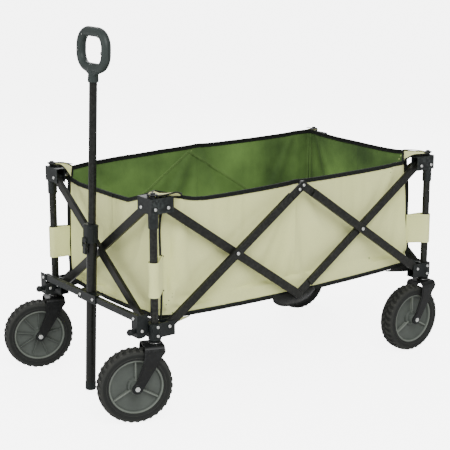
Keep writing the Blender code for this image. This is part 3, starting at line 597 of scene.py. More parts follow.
def make_fork(corner, body, swivels):
    """A pressed fork: two legs, a crown bent down onto them, and the bearing at its neck."""
    caster, _, trail = wheel_pose(corner)
    piece = Piece("fork", "rivet", "bracket")
    lift = caster @ Matrix.Translation((0, 0, GROUND))
    inner, thick, flat = 0.0270, 0.0030, 0.0235
    for side in (-1, 1):
        # the leg's outline is drawn in x and z, and its thickness runs along y
        stand = lift @ Matrix(((1, 0, 0, 0), (0, 0, side, 0), (0, 1, 0, 0), (0, 0, 0, 1)))
        piece.add(plate(leg_outline(trail), inner, inner + thick), "fork", stand)
        rib = leg_outline(trail, -0.0046, 0.1745)
        piece.add(plate(rib, inner + thick - 0.0004, inner + thick + 0.0007), "fork", stand)
        boss = turned([(0, 0), (0.0098, 0), (0.0098, 0.0011), (0.0090, 0.0018), (0, 0.0018)], 32)
        eye = Matrix.Translation((-trail, side * (inner + thick - 0.0002), up(WHEEL_R)))
        piece.add(boss, "bracket", caster @ eye @ Matrix.Rotation(-side * math.pi / 2, 4, "X"))
    half = inner + thick - 0.0003
    outer = [(half, 0.1715), (half, 0.1785), (half - 0.0012, 0.1812), (flat + 0.0008, 0.1862),
             (flat - 0.002, 0.1870)]
    under = [(half - 0.0024, 0.1715), (half - 0.0026, 0.1783), (flat - 0.0012, 0.1836)]
    section = outer + [(-y, z) for y, z in reversed(outer)] + [(-y, z) for y, z in under] + under[::-1]
    across = lift @ Matrix(((0, 0, 1, 0), (1, 0, 0, 0), (0, 1, 0, 0), (0, 0, 0, 1)))
    piece.add(plate(section, -0.0298, 0.0176), "fork", across)
    race = standing((0, 0.1860), (0.0158, 0.1860), (0.0165, 0.1868), (0.0165, 0.1885), (0.0150, 0.1893),
                    (0.0140, 0.1905), (0.0140, 0.1928), (0, 0.1928))
    piece.add(turned(race, 40), "fork", caster)
    ball_ring = standing((0, 0.1890), (0.0154, 0.1890), (0.0154, 0.1896), (0, 0.1896))
    piece.add(turned(ball_ring, 40), "rivet", caster)
    top = 0.2140 if swivels else 0.1941
    stem = standing((0, 0.1900), (0.0050, 0.1900), (0.0050, top), (0, top))
    piece.add(turned(stem, 24), "fork", caster)
    piece.build(f"fork_{corner}_shell", body, f"fork_{corner}", slot="bracket_steel", bevel=0.0009, angle=50)


def make_axle(corner, body):
    _, wheel, _ = wheel_pose(corner)
    piece = Piece("rivet", "plastic")
    face = 0.0322
    for side in (-1, 1):
        turn = Matrix.Diagonal((1, 1, side, 1))
        nut = plate(arc((0, 0), 0.0062, 0, 300, 5), face - 0.0006, face + 0.0012)
        piece.add(nut, "rivet", wheel @ turn)
        end = [(0, face), (0.0036, face), (0.0036, face + 0.0010), (0.0026, face + 0.0016), (0, face + 0.0017)]
        piece.add(turned(end, 24), "rivet", wheel @ turn)
    rod = turned([(0, -face), (0.0040, -face), (0.0040, face), (0, face)], 24)
    piece.add(rod, "rivet", wheel)
    piece.build(f"axle_{corner}_shell", body, f"axle_{corner}", slot="bright_steel", bevel=0.0003)


def make_hub(corner, body):
    """The moulded centre: a rim ring, a dished web, a boss, and ribs on both faces."""
    _, wheel, _ = wheel_pose(corner)
    rim = 0.0652
    piece = Piece("hub", "rim", "plastic")
    web = [(0.0046, -0.0250), (0.0120, -0.0250), (0.0128, -0.0242), (0.0150, -0.0075), (0.0200, -0.0048),
           (0.0500, -0.0058), (0.0580, -0.0085), (0.0605, -0.0150), (rim, -0.0152), (rim, 0.0152),
           (0.0605, 0.0150), (0.0580, 0.0085), (0.0500, 0.0058), (0.0200, 0.0048), (0.0150, 0.0075),
           (0.0128, 0.0242), (0.0120, 0.0250), (0.0046, 0.0250)]
    piece.add(turned(web, 72, closed=True), "hub", wheel)
    for side in (-1, 1):
        turn = Matrix.Diagonal((1, 1, side, 1))
        lip = [(0.0600, 0.0140), (0.0612, 0.0166), (0.0634, 0.0172), (0.0650, 0.0160), (rim, 0.0140)]
        piece.add(turned(lip[::-1], 72, closed=True), "rim", wheel @ turn)
        cap = [(0, 0.0240), (0.0118, 0.0240), (0.0118, 0.0258), (0.0105, 0.0264), (0, 0.0264)]
        piece.add(turned(cap, 40), "plastic", wheel @ turn)
        plain = (side > 0) != (corner == "ff")
        count = 3 if plain else 9
        for k in range(count):
            angle = math.radians(90 + 360 * k / count)
            width = 0.0021 if plain else 0.0013
            rib = [(0.0120, -width), (0.0602, -width * 0.9), (0.0602, width * 0.9), (0.0120, width)]
            height = 0.0135 if plain else 0.0120
            place = wheel @ turn @ Matrix.Rotation(angle, 4, "Z")
            # ribs on the plain faces take the lighter rim grey: a painted highlight of their lit tops
            piece.add(plate(rib, 0.0030, height), "rim" if plain else "hub", place)
        if plain:
            collar = [(0.0128, 0.0040), (0.0205, 0.0040), (0.0205, 0.0080), (0.0185, 0.0110),
                      (0.0128, 0.0125)]
            piece.add(turned(collar, 48, closed=True), "hub", wheel @ turn)
    node = f"wheel_hub_{corner}"
    piece.build(f"{node}_shell", body, node, slot="wheel_plastic", bevel=0.0006, angle=50)


def make_tyre(corner, body):
    """A solid tyre with moulded sidewall rings and two rows of slanted tread blocks."""
    _, wheel, _ = wheel_pose(corner)
    piece = Piece("tyre")
    half, inner, floor = 0.0210, 0.0650, WHEEL_R - 0.0032
    side = [(inner, 0.0175), (inner + 0.0010, 0.0192), (0.0690, 0.0196), (0.0698, 0.0203),
            (0.0712, 0.0203), (0.0720, 0.0197), (0.0770, 0.0205), (0.0800, half), (0.0832, 0.0200),
            (0.0850, 0.0172), (floor, 0.0120)]
    profile = [(r, -z) for r, z in side] + [(floor + 0.0004, 0.0)] + side[::-1]
    piece.add(turned(profile, 96, closed=True), "tyre", wheel)
    blocks = 34
    for row in (-1, 1):
        for k in range(blocks):
            turn = math.tau * (k + (0.5 if row > 0 else 0.0)) / blocks
            place = wheel @ Matrix.Rotation(turn, 4, "Z")
            piece.add(tread_block(floor, row, math.tau / blocks), "tyre", place)
    piece.build(f"tyre_{corner}_shell", body, f"tyre_{corner}", slot="tyre_rubber", bevel=0.0005, angle=50)


def tread_block(floor, row, pitch):
    """One slanted block from near the middle of the tread to its shoulder, about angle 0."""
    plan = [(-0.36, 0.0012), (0.12, 0.0006), (0.52, 0.0100), (0.50, 0.0180), (0.02, 0.0188), (0.00, 0.0108)]
    verts = []
    for layer in (-0.0012, 1.0):
        for turn, across in plan:
            drop = 0.0022 * (across / 0.0188) ** 2
            radius = floor + (layer if layer < 0 else WHEEL_R - floor - drop)
            shrink = 1.0 if layer < 0 else 0.90
            angle = pitch * (turn - 0.08) * shrink
            z = row * (across * shrink + 0.0004)
            verts.append((radius * math.cos(angle), radius * math.sin(angle), z))
    count = len(plan)
    faces = [tuple(range(count))[::-1], tuple(range(count, 2 * count))]
    faces += [(i, (i + 1) % count, count + (i + 1) % count, count + i) for i in range(count)]
    # seen from outside the wheel the plan runs counter-clockwise only in one row
    if row > 0:
        faces = [face[::-1] for face in faces]
    return verts, [face[::-1] for face in faces]


def make_wheels():
    for corner in CORNERS:
        swivels = corner in ("fn", "ff")
        carrier = f"caster_{corner}" if swivels else f"frame_{corner}"
        make_fork(corner, carrier, swivels)
        make_axle(corner, carrier)
        make_hub(corner, f"wheel_{corner}")
        make_tyre(corner, f"wheel_{corner}")


# ---------------------------------------------------------------- the bag
def rim_height(sx, sy, share):
    """Height of a side's rim: share runs 0 at its middle to 1 where it turns the corner."""
    heights = {(-1, -1): (0.5095, 0.5075, 0.5065, 0.5068, 0.5095, 0.5160),
               (1, -1): (0.5095, 0.5095, 0.5105, 0.5112, 0.5115, 0.5125),
               (-1, 1): (0.5385, 0.5393, 0.5360, 0.5320, 0.5285, 0.5240),
               (1, 1): (0.5385, 0.5390, 0.5390, 0.5386, 0.5384, 0.5380)}[(sx, sy)]
    return float(np.interp(share, (0, 0.3, 0.64, 0.8, 0.9, 1), heights))


def end_rim_height(sx, sy, share):
    """Height of an end wall's rim: share runs 0 at its middle to 1 at its corner."""
    heights = {(-1, -1): (0.4945, 0.4945, 0.5080, 0.5215, 0.5290),
               (-1, 1): (0.4945, 0.4930, 0.4910, 0.4910, 0.4950),
               (1, -1): (0.5355, 0.5350, 0.5345, 0.5345, 0.5350),
               (1, 1): (0.5355, 0.5362, 0.5370, 0.5375, 0.5380)}
    return float(np.interp(share, (0, 0.36, 0.61, 0.85, 1), heights[(sx, sy)]))


SIDE_COLUMNS, CHAMFER_COLUMNS, END_COLUMNS, ROWS = 48, 7, 24, 34


def quadrant_rim(sx, sy):
    """Rim and floor points of one quarter of the bag, from the side's middle to the end's."""
    rim, foot = [], []
    side_x, end_y = next(CUTS[corner] for corner, signs in CORNERS.items() if signs == (sx, sy))
    corner_side = rim_height(sx, sy, 1.0)
    corner_end = end_rim_height(sx, sy, 1.0)
    for i in range(SIDE_COLUMNS + 1):
        share = i / SIDE_COLUMNS
        bow = 0.0035 * math.sin(math.pi * share)
        rim.append((sx * side_x * share, sy * (RIM_SIDE_Y - bow), up(rim_height(sx, sy, share))))
        foot.append((sx * (BAG_X - FOOT_R) * share, sy * BAG_Y, up(0.2195 + 0.0095 * share ** 2)))
    for i in range(1, CHAMFER_COLUMNS):
        share = i / CHAMFER_COLUMNS
        x = side_x + (RIM_END_X - side_x) * share
        y = RIM_SIDE_Y + (end_y - RIM_SIDE_Y) * share
        rim.append((sx * x, sy * y, up(corner_side + (corner_end - corner_side) * share)))
        turn = math.pi / 2 * share
        foot.append((sx * (BAG_X - FOOT_R + FOOT_R * math.sin(turn)),
                     sy * (BAG_Y - FOOT_R + FOOT_R * math.cos(turn)), up(0.229)))
    for i in range(END_COLUMNS + 1):
        share = 1 - i / END_COLUMNS
        bow = 0.003 * math.sin(math.pi * share)
        rim.append((sx * (RIM_END_X - bow), sy * end_y * share, up(end_rim_height(sx, sy, share))))
        foot.append((sx * BAG_X, sy * (BAG_Y - FOOT_R) * share, up(0.2215 + 0.0075 * share ** 2)))
    return np.array(rim), np.array(foot)


def wall_grid(sx, sy):
    """A quarter of the bag's wall as rows by columns of points, before it is draped."""
    rim, foot = quadrant_rim(sx, sy)
    grid = np.zeros((ROWS + 1, len(rim), 3))
    for r in range(ROWS + 1):
        share = r / ROWS
        # below its cut rim the corner opens out to its full width at once
        quick = 1 - (1 - min(1.0, share / 0.28)) ** 2
        for c in range(len(rim)):
            near = min(1.0, c / SIDE_COLUMNS) if c <= SIDE_COLUMNS else 1.0
            near = min(near, (len(rim) - 1 - c) / END_COLUMNS) ** 2
            mix = share + (quick - share) * near
            grid[r, c, :2] = rim[c, :2] * (1 - mix) + foot[c, :2] * mix
            grid[r, c, 2] = rim[c, 2] * (1 - share) + foot[c, 2] * share
    for r in range(1, ROWS):
        for c in range(grid.shape[1]):
            point = Vector(grid[r, c])
            share = math.sin(math.pi * r / ROWS)
            if c <= SIDE_COLUMNS:
                outward, weight = Vector((0, sy, 0)), min(1.0, (SIDE_COLUMNS - c) / 10)
            elif c >= SIDE_COLUMNS + CHAMFER_COLUMNS:
                outward = Vector((sx, 0, 0))
                weight = min(1.0, (c - SIDE_COLUMNS - CHAMFER_COLUMNS) / 8)
            else:
                continue
            soft = noise.noise(Vector((point.x * 7.0, point.y * 7.0 + 3.1, point.z * 9.0)))
            crisp = noise.noise(Vector((point.x * 24.0, point.y * 24.0, point.z * 15.0 + 7.7)))
            lift = weight * share * (0.0040 + 0.0045 * soft) + 0.0022 * crisp * share
            grid[r, c] = point + outward * lift
    return grid


def bag_loop():
    """The four quarters joined into one closed band, with each quarter's own columns."""
    order = (("rn", False), ("rf", True), ("ff", False), ("fn", True))
    columns, spans = [], {}
    for corner, backwards in order:
        sx, sy = CORNERS[corner]
        grid = wall_grid(sx, sy)
        if backwards:
            grid = grid[:, ::-1]
        start = len(columns)
        columns += [grid[:, c] for c in range(grid.shape[1] - 1)]
        spans[corner] = (start, grid.shape[1], backwards)
    return np.stack(columns, axis=1), spans


def drape(band):
    """Lets the closed band of cloth hang between its rim and its floor."""
    rows, columns = band.shape[:2]
    mesh = bpy.data.meshes.new("drape")
    faces = []
    for r in range(rows - 1):
        for c in range(columns):
            d = (c + 1) % columns
            faces.append((r * columns + c, r * columns + d, (r + 1) * columns + d, (r + 1) * columns + c))
    mesh.from_pydata(band.reshape(-1, 3).tolist(), [], faces)
    obj = bpy.data.objects.new("drape", mesh)
    bpy.context.scene.collection.objects.link(obj)
    pins = obj.vertex_groups.new(name="pins")
    for c in range(columns):
        x, y = band[0, c, 0], band[0, c, 1]
        held = abs(x) > RIM_SIDE_X - 0.004 and abs(y) > RIM_END_Y - 0.004
        pins.add([c], 1.0 if held or abs(x) < 0.01 else 0.55, "REPLACE")
        pins.add([(rows - 1) * columns + c], 1.0, "REPLACE")
        pins.add([(rows - 2) * columns + c], 0.5, "REPLACE")
    cloth = obj.modifiers.new("cloth", "CLOTH")
    settings = cloth.settings
    settings.quality = 6
    settings.mass = 0.25
    settings.tension_stiffness = 22
    settings.compression_stiffness = 12
    settings.shear_stiffness = 8
    settings.bending_stiffness = 0.35
    settings.vertex_group_mass = "pins"
    settings.pin_stiffness = 1.0
    settings.shrink_min = -0.014
    settings.use_pressure = True
    settings.uniform_pressure_force = 0.25
    scene = bpy.context.scene
    scene.frame_start, scene.frame_end = 1, 24
    cloth.point_cache.frame_start, cloth.point_cache.frame_end = 1, 24
    for step in range(1, 25):
        scene.frame_set(step)
    graph = bpy.context.evaluated_depsgraph_get()
    hung = obj.evaluated_get(graph).to_mesh()
    found = np.empty(len(hung.vertices) * 3)
    hung.vertices.foreach_get("co", found)
    found = found.reshape(band.shape)
    obj.evaluated_get(graph).to_mesh_clear()
    bpy.data.objects.remove(obj, do_unlink=True)
    move = found - band
    length = np.linalg.norm(move, axis=2, keepdims=True)
    cap = 0.011
    return band + move * np.minimum(1.0, cap / np.maximum(length, 1e-9))


def hold_clear(band):
    """Keeps the walls inside the scissor bars."""
    limit_y = POST_Y - LAYER - BAR_DEPTH - BAG_THICK
    limit_x = POST_X - LAYER - BAR_DEPTH - BAG_THICK
    band[:, :, 0] = np.clip(band[:, :, 0], -limit_x, limit_x)
    band[:, :, 1] = np.clip(band[:, :, 1], -limit_y, limit_y)
    # beside the floor pad the cloth cannot sag inwards
    low_side = (band[:, :, 2] < up(0.262)) & (np.abs(band[:, :, 0]) < BAG_X - 0.014)
    pushed = np.copysign(np.maximum(np.abs(band[:, :, 1]), BAG_Y), band[:, :, 1])
    band[:, :, 1] = np.where(low_side & (np.abs(band[:, :, 1]) > 0.185), pushed, band[:, :, 1])
    return band


def press_bars(band):
    """Folds a crease into the side walls along the lines of the outer bars."""
    angle = math.atan2(TOP - LOW, SPAN)
    for r in range(1, band.shape[0] - 1):
        for c in range(band.shape[1]):
            x, y, z = band[r, c]
            if abs(y) < RIM_END_Y or abs(x) > RIM_SIDE_X:
                continue
            distance = abs((TOP + 0.012 - z) - abs(x + 0.02) * math.tan(angle)) * math.cos(angle)
            push = 0.0032 * math.exp(-(distance / 0.006) ** 2) * math.sin(math.pi * r / (band.shape[0] - 1))
            band[r, c, 1] -= math.copysign(push, y)
    return band


def along_length(points):
    steps = [0.0]
    for a, b in zip(points, points[1:]):
        steps.append(steps[-1] + float(np.linalg.norm(np.array(b) - np.array(a))))
    return steps


def weave(across, down):
    """Where each point of a sheet lies in its weave, from the distances across and down it."""
    return [(a, d) for d in down for a in across]


def stitches(path, normal, pitch=0.0062, length=0.0042, width=0.0008):
    """A run of thread dashes along a path, standing a little proud along the normal."""
    lengths = along_length(path)
    shapes, position = [], pitch / 2
    while position < lengths[-1] - length:
        ends = []
        for target in (position, position + length):
            k = max(i for i, value in enumerate(lengths) if value <= target)
            k = min(k, len(path) - 2)
            share = (target - lengths[k]) / max(lengths[k + 1] - lengths[k], 1e-9)
            ends.append(Vector(path[k]).lerp(Vector(path[k + 1]), share))
        side = normal(ends[0]) if callable(normal) else Vector(normal)
        middle = (ends[0] + ends[1]) / 2 + side * width * 0.7
        shapes.append(swept([ends[0], middle, ends[1]], ring_section(width / 2, 5)))
        position += pitch
    return shapes


def bag_quarter(corner, band, span):
    """One quarter of the bag, in two pieces: its side wall with its corner, and its end wall."""
    start, count, backwards = span
    columns = band.shape[1]
    grid = band[:, [(start + c) % columns for c in range(count)]]
    if backwards:
        grid = grid[:, ::-1]
    split = SIDE_COLUMNS + CHAMFER_COLUMNS
    make_wall(f"bag_side_{corner}", corner, grid[:, :split + 1], "side")
    make_wall(f"bag_end_{corner}", corner, grid[:, split:], "end")


def strip(work, start, stop, steps=4):
    """The wall between two distances down from its rim, or up from its foot if negative."""
    found = np.zeros((steps + 1, work.shape[1], 3))
    for c in range(work.shape[1]):
        lengths = np.array(along_length(work[:, c]))
        wanted = np.linspace(start, stop, steps + 1)
        if start < 0:
            wanted = wanted + lengths[-1]
        for axis in range(3):
            found[:, c, axis] = np.interp(wanted, lengths, work[:, c, axis])
    return found


def hem(piece, grid, lift):
    """Black tape folded over the wall's edge, standing proud on both of its faces."""
    grid[0 if lift > 0 else -1, :, 2] += lift
    piece.cloth(grid, TAPE_THICK, "binding")


def make_wall(name, corner, grid, kind):
    sx, sy = CORNERS[corner]
    outward_left = (sx > 0) == (sy < 0)
    work = grid if outward_left else grid[:, ::-1]
    piece = Piece("canvas", "lining", "binding", "dark_thread")
    piece.cloth(work, BAG_THICK, "canvas", "lining", "canvas")
    toward = Vector((0, sy, 0)) if kind == "side" else Vector((sx, 0, 0))
    hem(piece, strip(work, 0.0, RIM_TAPE), 0.0016)
    hem(piece, strip(work, -FOOT_TAPE, 0.0), -0.0012)
    for distance in (RIM_TAPE - 0.0022, -FOOT_TAPE + 0.0022):
        line = [Vector(point) + toward * TAPE_FACE for point in strip(work, distance, distance, 1)[0]]
        piece.sew(line, toward, "dark_thread", length=0.0036)
    inside = [Vector(point) - toward * TAPE_FACE for point in strip(work, RIM_TAPE - 0.0022, RIM_TAPE, 1)[0]]
    piece.sew(inside, -toward, "dark_thread", length=0.0036)
    if kind == "side":
        # the corner seam runs down the outside of the wall where it turns
        columns = [SIDE_COLUMNS + CHAMFER_COLUMNS // 2 + k for k in (0, 1)]
        if not outward_left:
            columns = [work.shape[1] - 1 - column for column in columns]
        diagonal = Vector((sx, sy, 0)).normalized()
        line = (work[:, columns[0]] + work[:, columns[1]]) / 2
        lead = np.concatenate([line[:1]] * 4 + [line] + [line[-1:]] * 4)
        smooth = sum(lead[k:k + len(line)] for k in range(9)) / 9
        smooth[:, 2] = line[:, 2]
        seam = [Vector(point) + diagonal * 0.0058 for point in smooth[1:]]
        piece.add(swept(seam, tape_section(0.0105, 0.0040), side=(-diagonal.y, diagonal.x, 0)), "binding")
    obj = piece.build(name, f"top_{corner}", "bag", slot="canvas")
    fold_with(obj, kind)
    return obj


def fold_with(obj, kind):
    """Gives a wall piece its own copy of its mesh."""
    if kind == "side":
        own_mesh(obj)
    else:
        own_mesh(obj)


def make_flap(corner):
    """The triangle of canvas from the bag's cut corner out to the post's cap, with its cords."""
    sx, sy = CORNERS[corner]
    rim, _ = quadrant_rim(sx, sy)
    side_point, end_point = Vector(rim[SIDE_COLUMNS]), Vector(rim[SIDE_COLUMNS + CHAMFER_COLUMNS])
    cap = Vector((sx * (POST_X - 0.003), sy * (POST_Y - 0.003), up(0.5320)))
    rows, columns = 12, 14
    grid = np.zeros((rows + 1, columns + 1, 3))
    for r in range(rows + 1):
        share = r / rows
        bulge = 0.0105 * math.sin(math.pi * share) ** 0.7 if 0 < share < 1 else 0.0
        left = side_point.lerp(cap + Vector((0, sy * 0.0105, 0)), share) + Vector((0, sy * bulge, 0))
        right = end_point.lerp(cap + Vector((sx * 0.0105, 0, 0)), share) + Vector((sx * bulge, 0, 0))
        for c in range(columns + 1):
            t = c / columns
            point = left.lerp(right, t)
            rim_z = side_point.z + (end_point.z - side_point.z) * t
            climb = 1 - (1 - min(1.0, share * 2.3)) ** 2.2
            sag = 0.005 * math.sin(math.pi * t) * (1 - share) ** 2
            point.z = rim_z + (cap.z - rim_z) * climb - sag + 0.0006 * noise.noise(point * 60)
            grid[r, c] = point
    piece = Piece("canvas", "binding", "cord", "thread")
    work = grid if sx * sy > 0 else grid[:, ::-1]
    piece.cloth(work, 0.0014, "canvas",
                threads=weave(along_length(work[0]), along_length(work[:, columns // 2])))
    for column in (0, columns):
        line = [Vector(point) for point in grid[:, column]]
        piece.add(swept(line, ring_section(0.0019, 8), side=(0, 0, 1)), "binding")
        beside = 1 if column == 0 else columns - 1
        inner_line = [Vector(grid[r, beside]) + Vector((0, 0, 0.0011)) for r in range(4, rows)]
        piece.sew(inner_line, (0, 0, 1), "thread", length=0.0032)
    cut_edge = rim[SIDE_COLUMNS:SIDE_COLUMNS + CHAMFER_COLUMNS + 1]
    chamfer = [Vector(point) + Vector((0, 0, 0.001)) for point in cut_edge]
    piece.add(swept(chamfer, ring_section(0.0017, 8), side=(0, 0, 1)), "binding")
    # two elastic cords loop from the rim round the neck of the cap
    neck = Vector((sx * POST_X, sy * POST_Y, up(0.5330)))
    for start, turn in ((end_point + Vector((0, 0, 0.002)), 1), (side_point + Vector((0, 0, 0.006)), -1)):
        direction = (neck - start).normalized()
        sideways = direction.cross(Vector((0, 0, 1))).normalized() * 0.0062
        path = [start.lerp(neck + sideways * turn * sx * sy, k / 10) for k in range(11)]
        for k, point in enumerate(path):
            point.z += 0.0022 * math.sin(math.pi * k / 10)
        base = math.atan2(path[-1].y - neck.y, path[-1].x - neck.x)
        for k in range(1, 9):
            angle = base + turn * sx * sy * -k * math.pi / 8
            path.append(neck + Vector((math.cos(angle), math.sin(angle), 0)) * 0.0064)
        piece.add(swept(path, ring_section(0.0011, 8), side=(0, 0, 1)), "cord")
    piece.build(f"corner_flap_{corner}", f"top_{corner}", "bag", slot="canvas")


# The height of a tab's cloth, and the cloth between two rows of a gusset's or a pouch's points.
TAB_CLOTH, GUSSET_ROW, POUCH_ROW = 0.074, 0.002, 0.003
TAB_HEIGHTS = {"fn": (0.2975, 0.380), "ff": (0.292, 0.371), "rn": (0.290, 0.367), "rf": (0.290, 0.367)}


def make_tab(corner):
    """The canvas tab that holds the bag's corner to the post: a loop round the post and two
    layers back to the corner seam."""
    sx, sy = CORNERS[corner]
    post = Vector((sx * POST_X, sy * POST_Y, 0))
    seam = Vector((sx * 0.391, sy * 0.2015, 0))
    toward = (seam - post)
    reach = toward.length
    toward.normalize()
    left = Vector((-toward.y, toward.x, 0))
    loop_r = POST_R + 0.0026
    start = math.degrees(math.acos(loop_r / reach))
    outline = [(reach, 0.0014)] + arc((0, 0), loop_r, start, 360 - start, 28) + [(reach, -0.0014)]
    points = []
    for a, b in zip(outline, outline[1:]):
        steps = max(1, int(math.hypot(b[0] - a[0], b[1] - a[1]) / 0.003))
        points += [(a[0] + (b[0] - a[0]) * k / steps, a[1] + (b[1] - a[1]) * k / steps) for k in range(steps)]
    points.append(outline[-1])
    low, high = (up(height) for height in TAB_HEIGHTS[corner])
    rows = 18
    grid = np.zeros((rows + 1, len(points), 3))
    for r in range(rows + 1):
        z = high + (low - high) * r / rows
        for c, (along, across) in enumerate(points):
            flare = 1 + 0.05 * math.cos(math.tau * r / rows)
            ripple = 0.0007 * noise.noise(Vector((along * 60, across * 60, z * 35 + sx * 5 + sy * 9)))
            place = post + toward * along + left * (across * flare + ripple)
            grid[r, c] = (place.x, place.y, z + 0.0015 * math.sin(along * 60 + sx))
    piece = Piece("canvas", "thread", "binding")
    piece.cloth(grid, 0.0015, "canvas",
                threads=weave(along_length(grid[0]), [r * TAB_CLOTH / rows for r in range(rows + 1)]))
    for share in (0.055, 0.945):
        row = round(rows * share)
        for flat in (0.0012, -0.0012):
            flank = [(a, b) for a, b in points if a > 0.004 and b * flat > 0]
            line = [post + toward * a + left * (b + math.copysign(0.0009, b)) for a, b in flank]
            line = [Vector((p.x, p.y, grid[row, 0, 2])) for p in line]
            piece.sew(line, left * math.copysign(1, flat), "thread", length=0.0034)
    for z in (high, low):
        knot = seam + Vector((0, 0, z)) - toward * 0.001
        piece.add(swept([knot - left * 0.004, knot, knot + left * 0.004 + Vector((0, 0, 0.004))],
                        ring_section(0.0018, 8)), "binding")
    piece.build(f"post_tab_{corner}", f"top_{corner}", "bag", slot="canvas")


def make_gusset(corner):
    """The small gusset from the end of the bag's bottom edge out towards the bracket: cream canvas at the near
    front, black elsewhere.
    """
    sx, sy = CORNERS[corner]
    rows, columns = 8, 14
    grid = np.zeros((rows + 1, columns + 1, 3))
    for r in range(rows + 1):
        share = r / rows
        for c in range(columns + 1):
            x = 0.318 + 0.078 * c / columns
            z = 0.2235 + 0.0050 * c / columns
            tip_x, tip_z = 0.400 + 0.010 * c / columns, 0.2110 + 0.0015 * c / columns
            pull = share ** 1.3
            wave = 0.0010 * math.sin(math.pi * share) * math.sin(c * 0.9)
            grid[r, c] = (sx * (x + (tip_x - x) * pull), sy * (BAG_Y + 0.0012 + 0.0040 * share + wave),
                          up(z + (tip_z - z) * share))
    cloth = "canvas" if corner == "fn" else "under"
    piece = Piece(cloth, "binding")
    work = grid if sx * sy < 0 else grid[:, ::-1]
    piece.cloth(work, 0.0016, cloth,
                threads=weave(along_length(work[0]), [r * GUSSET_ROW for r in range(rows + 1)]))
    slope = [Vector(point) for point in grid[:, 0]]
    piece.add(swept(slope, ring_section(0.0013, 8), side=(0, 1, 0)), "binding")
    piece.build(f"bag_gusset_{corner}", f"top_{corner}", "bag", slot="canvas")


def make_middle_flap(side, sy):
    """The black cloth pouch that hangs under the middle joint of a side wall, in two halves."""
    for end, sx in (("f", -1), ("r", 1)):
        rows, columns = 12, 16
        grid = np.zeros((rows + 1, columns + 1, 3))
        for r in range(rows + 1):
            for c in range(columns + 1):
                share = c / columns
                depth = 0.036 * math.sqrt(max(0.0, 1 - share ** 2.2))
                drop = depth * r / rows
                belly = 0.010 * math.sin(math.pi * min(1.0, r / rows + 0.12)) * (1 - share ** 2)
                wave = 0.0012 * noise.noise(Vector((share * 5, r * 0.3, sy)))
                grid[r, c] = (sx * 0.070 * share, sy * (BAG_Y + 0.002 + belly + wave), up(0.226) - drop)
        piece = Piece("under", "binding", "thread")
        work = grid if sx * sy < 0 else grid[:, ::-1]
        piece.cloth(work, 0.0016, "under",
                    threads=weave(along_length(work[0]), [r * POUCH_ROW for r in range(rows + 1)]))
        hem = [Vector(point) for point in grid[-1, : columns]]
        piece.add(swept(hem, ring_section(0.0019, 8), side=(0, 1, 0)), "binding")
        corner = end + side[0]
        obj = piece.build(f"middle_pouch_{corner}", f"top_{corner}", "bag", slot="canvas")
        fold_with(obj, "side")


def make_inside_seams(band):
    """The stitched peak on the lining of each side wall, above the middle of the wagon."""
    points = band.reshape(-1, 3)
    walls = {sy: points[points[:, 1] * sy > RIM_END_Y] for sy in (-1, 1)}
    for corner, (sx, sy) in CORNERS.items():
        angle = math.atan2(TOP - LOW, SPAN)
        peak_x, peak_z = -0.030, up(rim_height(sx, sy, 0.1) - 0.016)
        line = []
        for k in range(60):
            x = peak_x + sx * (k / 59) * 0.30
            z = peak_z - abs(x - peak_x) * math.tan(angle) * 0.93
            if x * sx < 0 and abs(x) > abs(peak_x) + 0.001:
                continue
            if z < up(0.30):
                break
            best = nearest_wall(walls[sy], x, z)
            line.append(Vector((x, best - sy * 0.0020, z)))
        piece = Piece("green_thread", "lining")
        piece.add(swept(line, tape_section(0.0065, 0.0012), side=(0, -sy, 0)), "lining")
        for offset in (-0.0022, 0.0022):
            shifted = [p + Vector((0, -sy * 0.0008, offset)) for p in line]
            piece.sew(shifted, (0, -sy, 0), "green_thread", length=0.0038, width=0.0010)
        obj = piece.build(f"lining_seam_{corner}", f"top_{corner}", slot="canvas")
        fold_with(obj, "side")


def nearest_wall(points, x, z):
    """The y of a side wall, given as its points, at a place in x and z."""
    distance = (points[:, 0] - x) ** 2 + (points[:, 2] - z) ** 2
    return float(points[np.argsort(distance)[:4], 1].mean())


def make_bag():
    band, spans = bag_loop()
    band = drape(band)
    band = hold_clear(press_bars(band))
    for corner in CORNERS:
        bag_quarter(corner, band, spans[corner])
        make_flap(corner)
        make_tab(corner)
        make_gusset(corner)
    for side, sy in SIDES:
        make_middle_flap(side, sy)
    make_inside_seams(band)


# ---------------------------------------------------------------- the padded floor
def pad_surface(low, high, chamfered_side, thick):
    """A padded board's top sheet, swelling up from its edge and tufted along its seams, and the board's middle
    height.
    """
    nx, ny = 64, 64
    xs = np.linspace(low.x, high.x, nx + 1)
    ys = np.linspace(low.y, high.y, ny + 1)
    cut = 0.021
    base = (low.z + high.z) / 2
    top = np.zeros((ny + 1, nx + 1, 3))
    for i, y in enumerate(ys):
        for j, x in enumerate(xs):
            end = (x - low.x) if chamfered_side < 0 else (high.x - x)
            pull = max(0.0, cut - end)
            room = (high.y - low.y) / 2 - pull
            centre = (high.y + low.y) / 2
            own_y = centre + (y - centre) / ((high.y - low.y) / 2) * room
            edge = min(x - low.x, high.x - x, room - abs(own_y - centre))
            swell = 1 - math.exp(-max(edge, 0.0) / 0.010)
            quilt = min(abs(own_y - centre - offset) for offset in (-0.0665, 0.0665))
            cross = abs(x - (low.x + high.x) / 2)
            tuft = 1 - 0.62 * math.exp(-(quilt / 0.006) ** 2) - 0.45 * math.exp(-(cross / 0.006) ** 2)
            ripple = 0.10 * noise.noise(Vector((x * 22, own_y * 22, 1.7)))
            height = thick / 2 * swell * max(0.15, tuft + ripple)
            top[i, j] = (x, own_y, base + height)
    return top, base


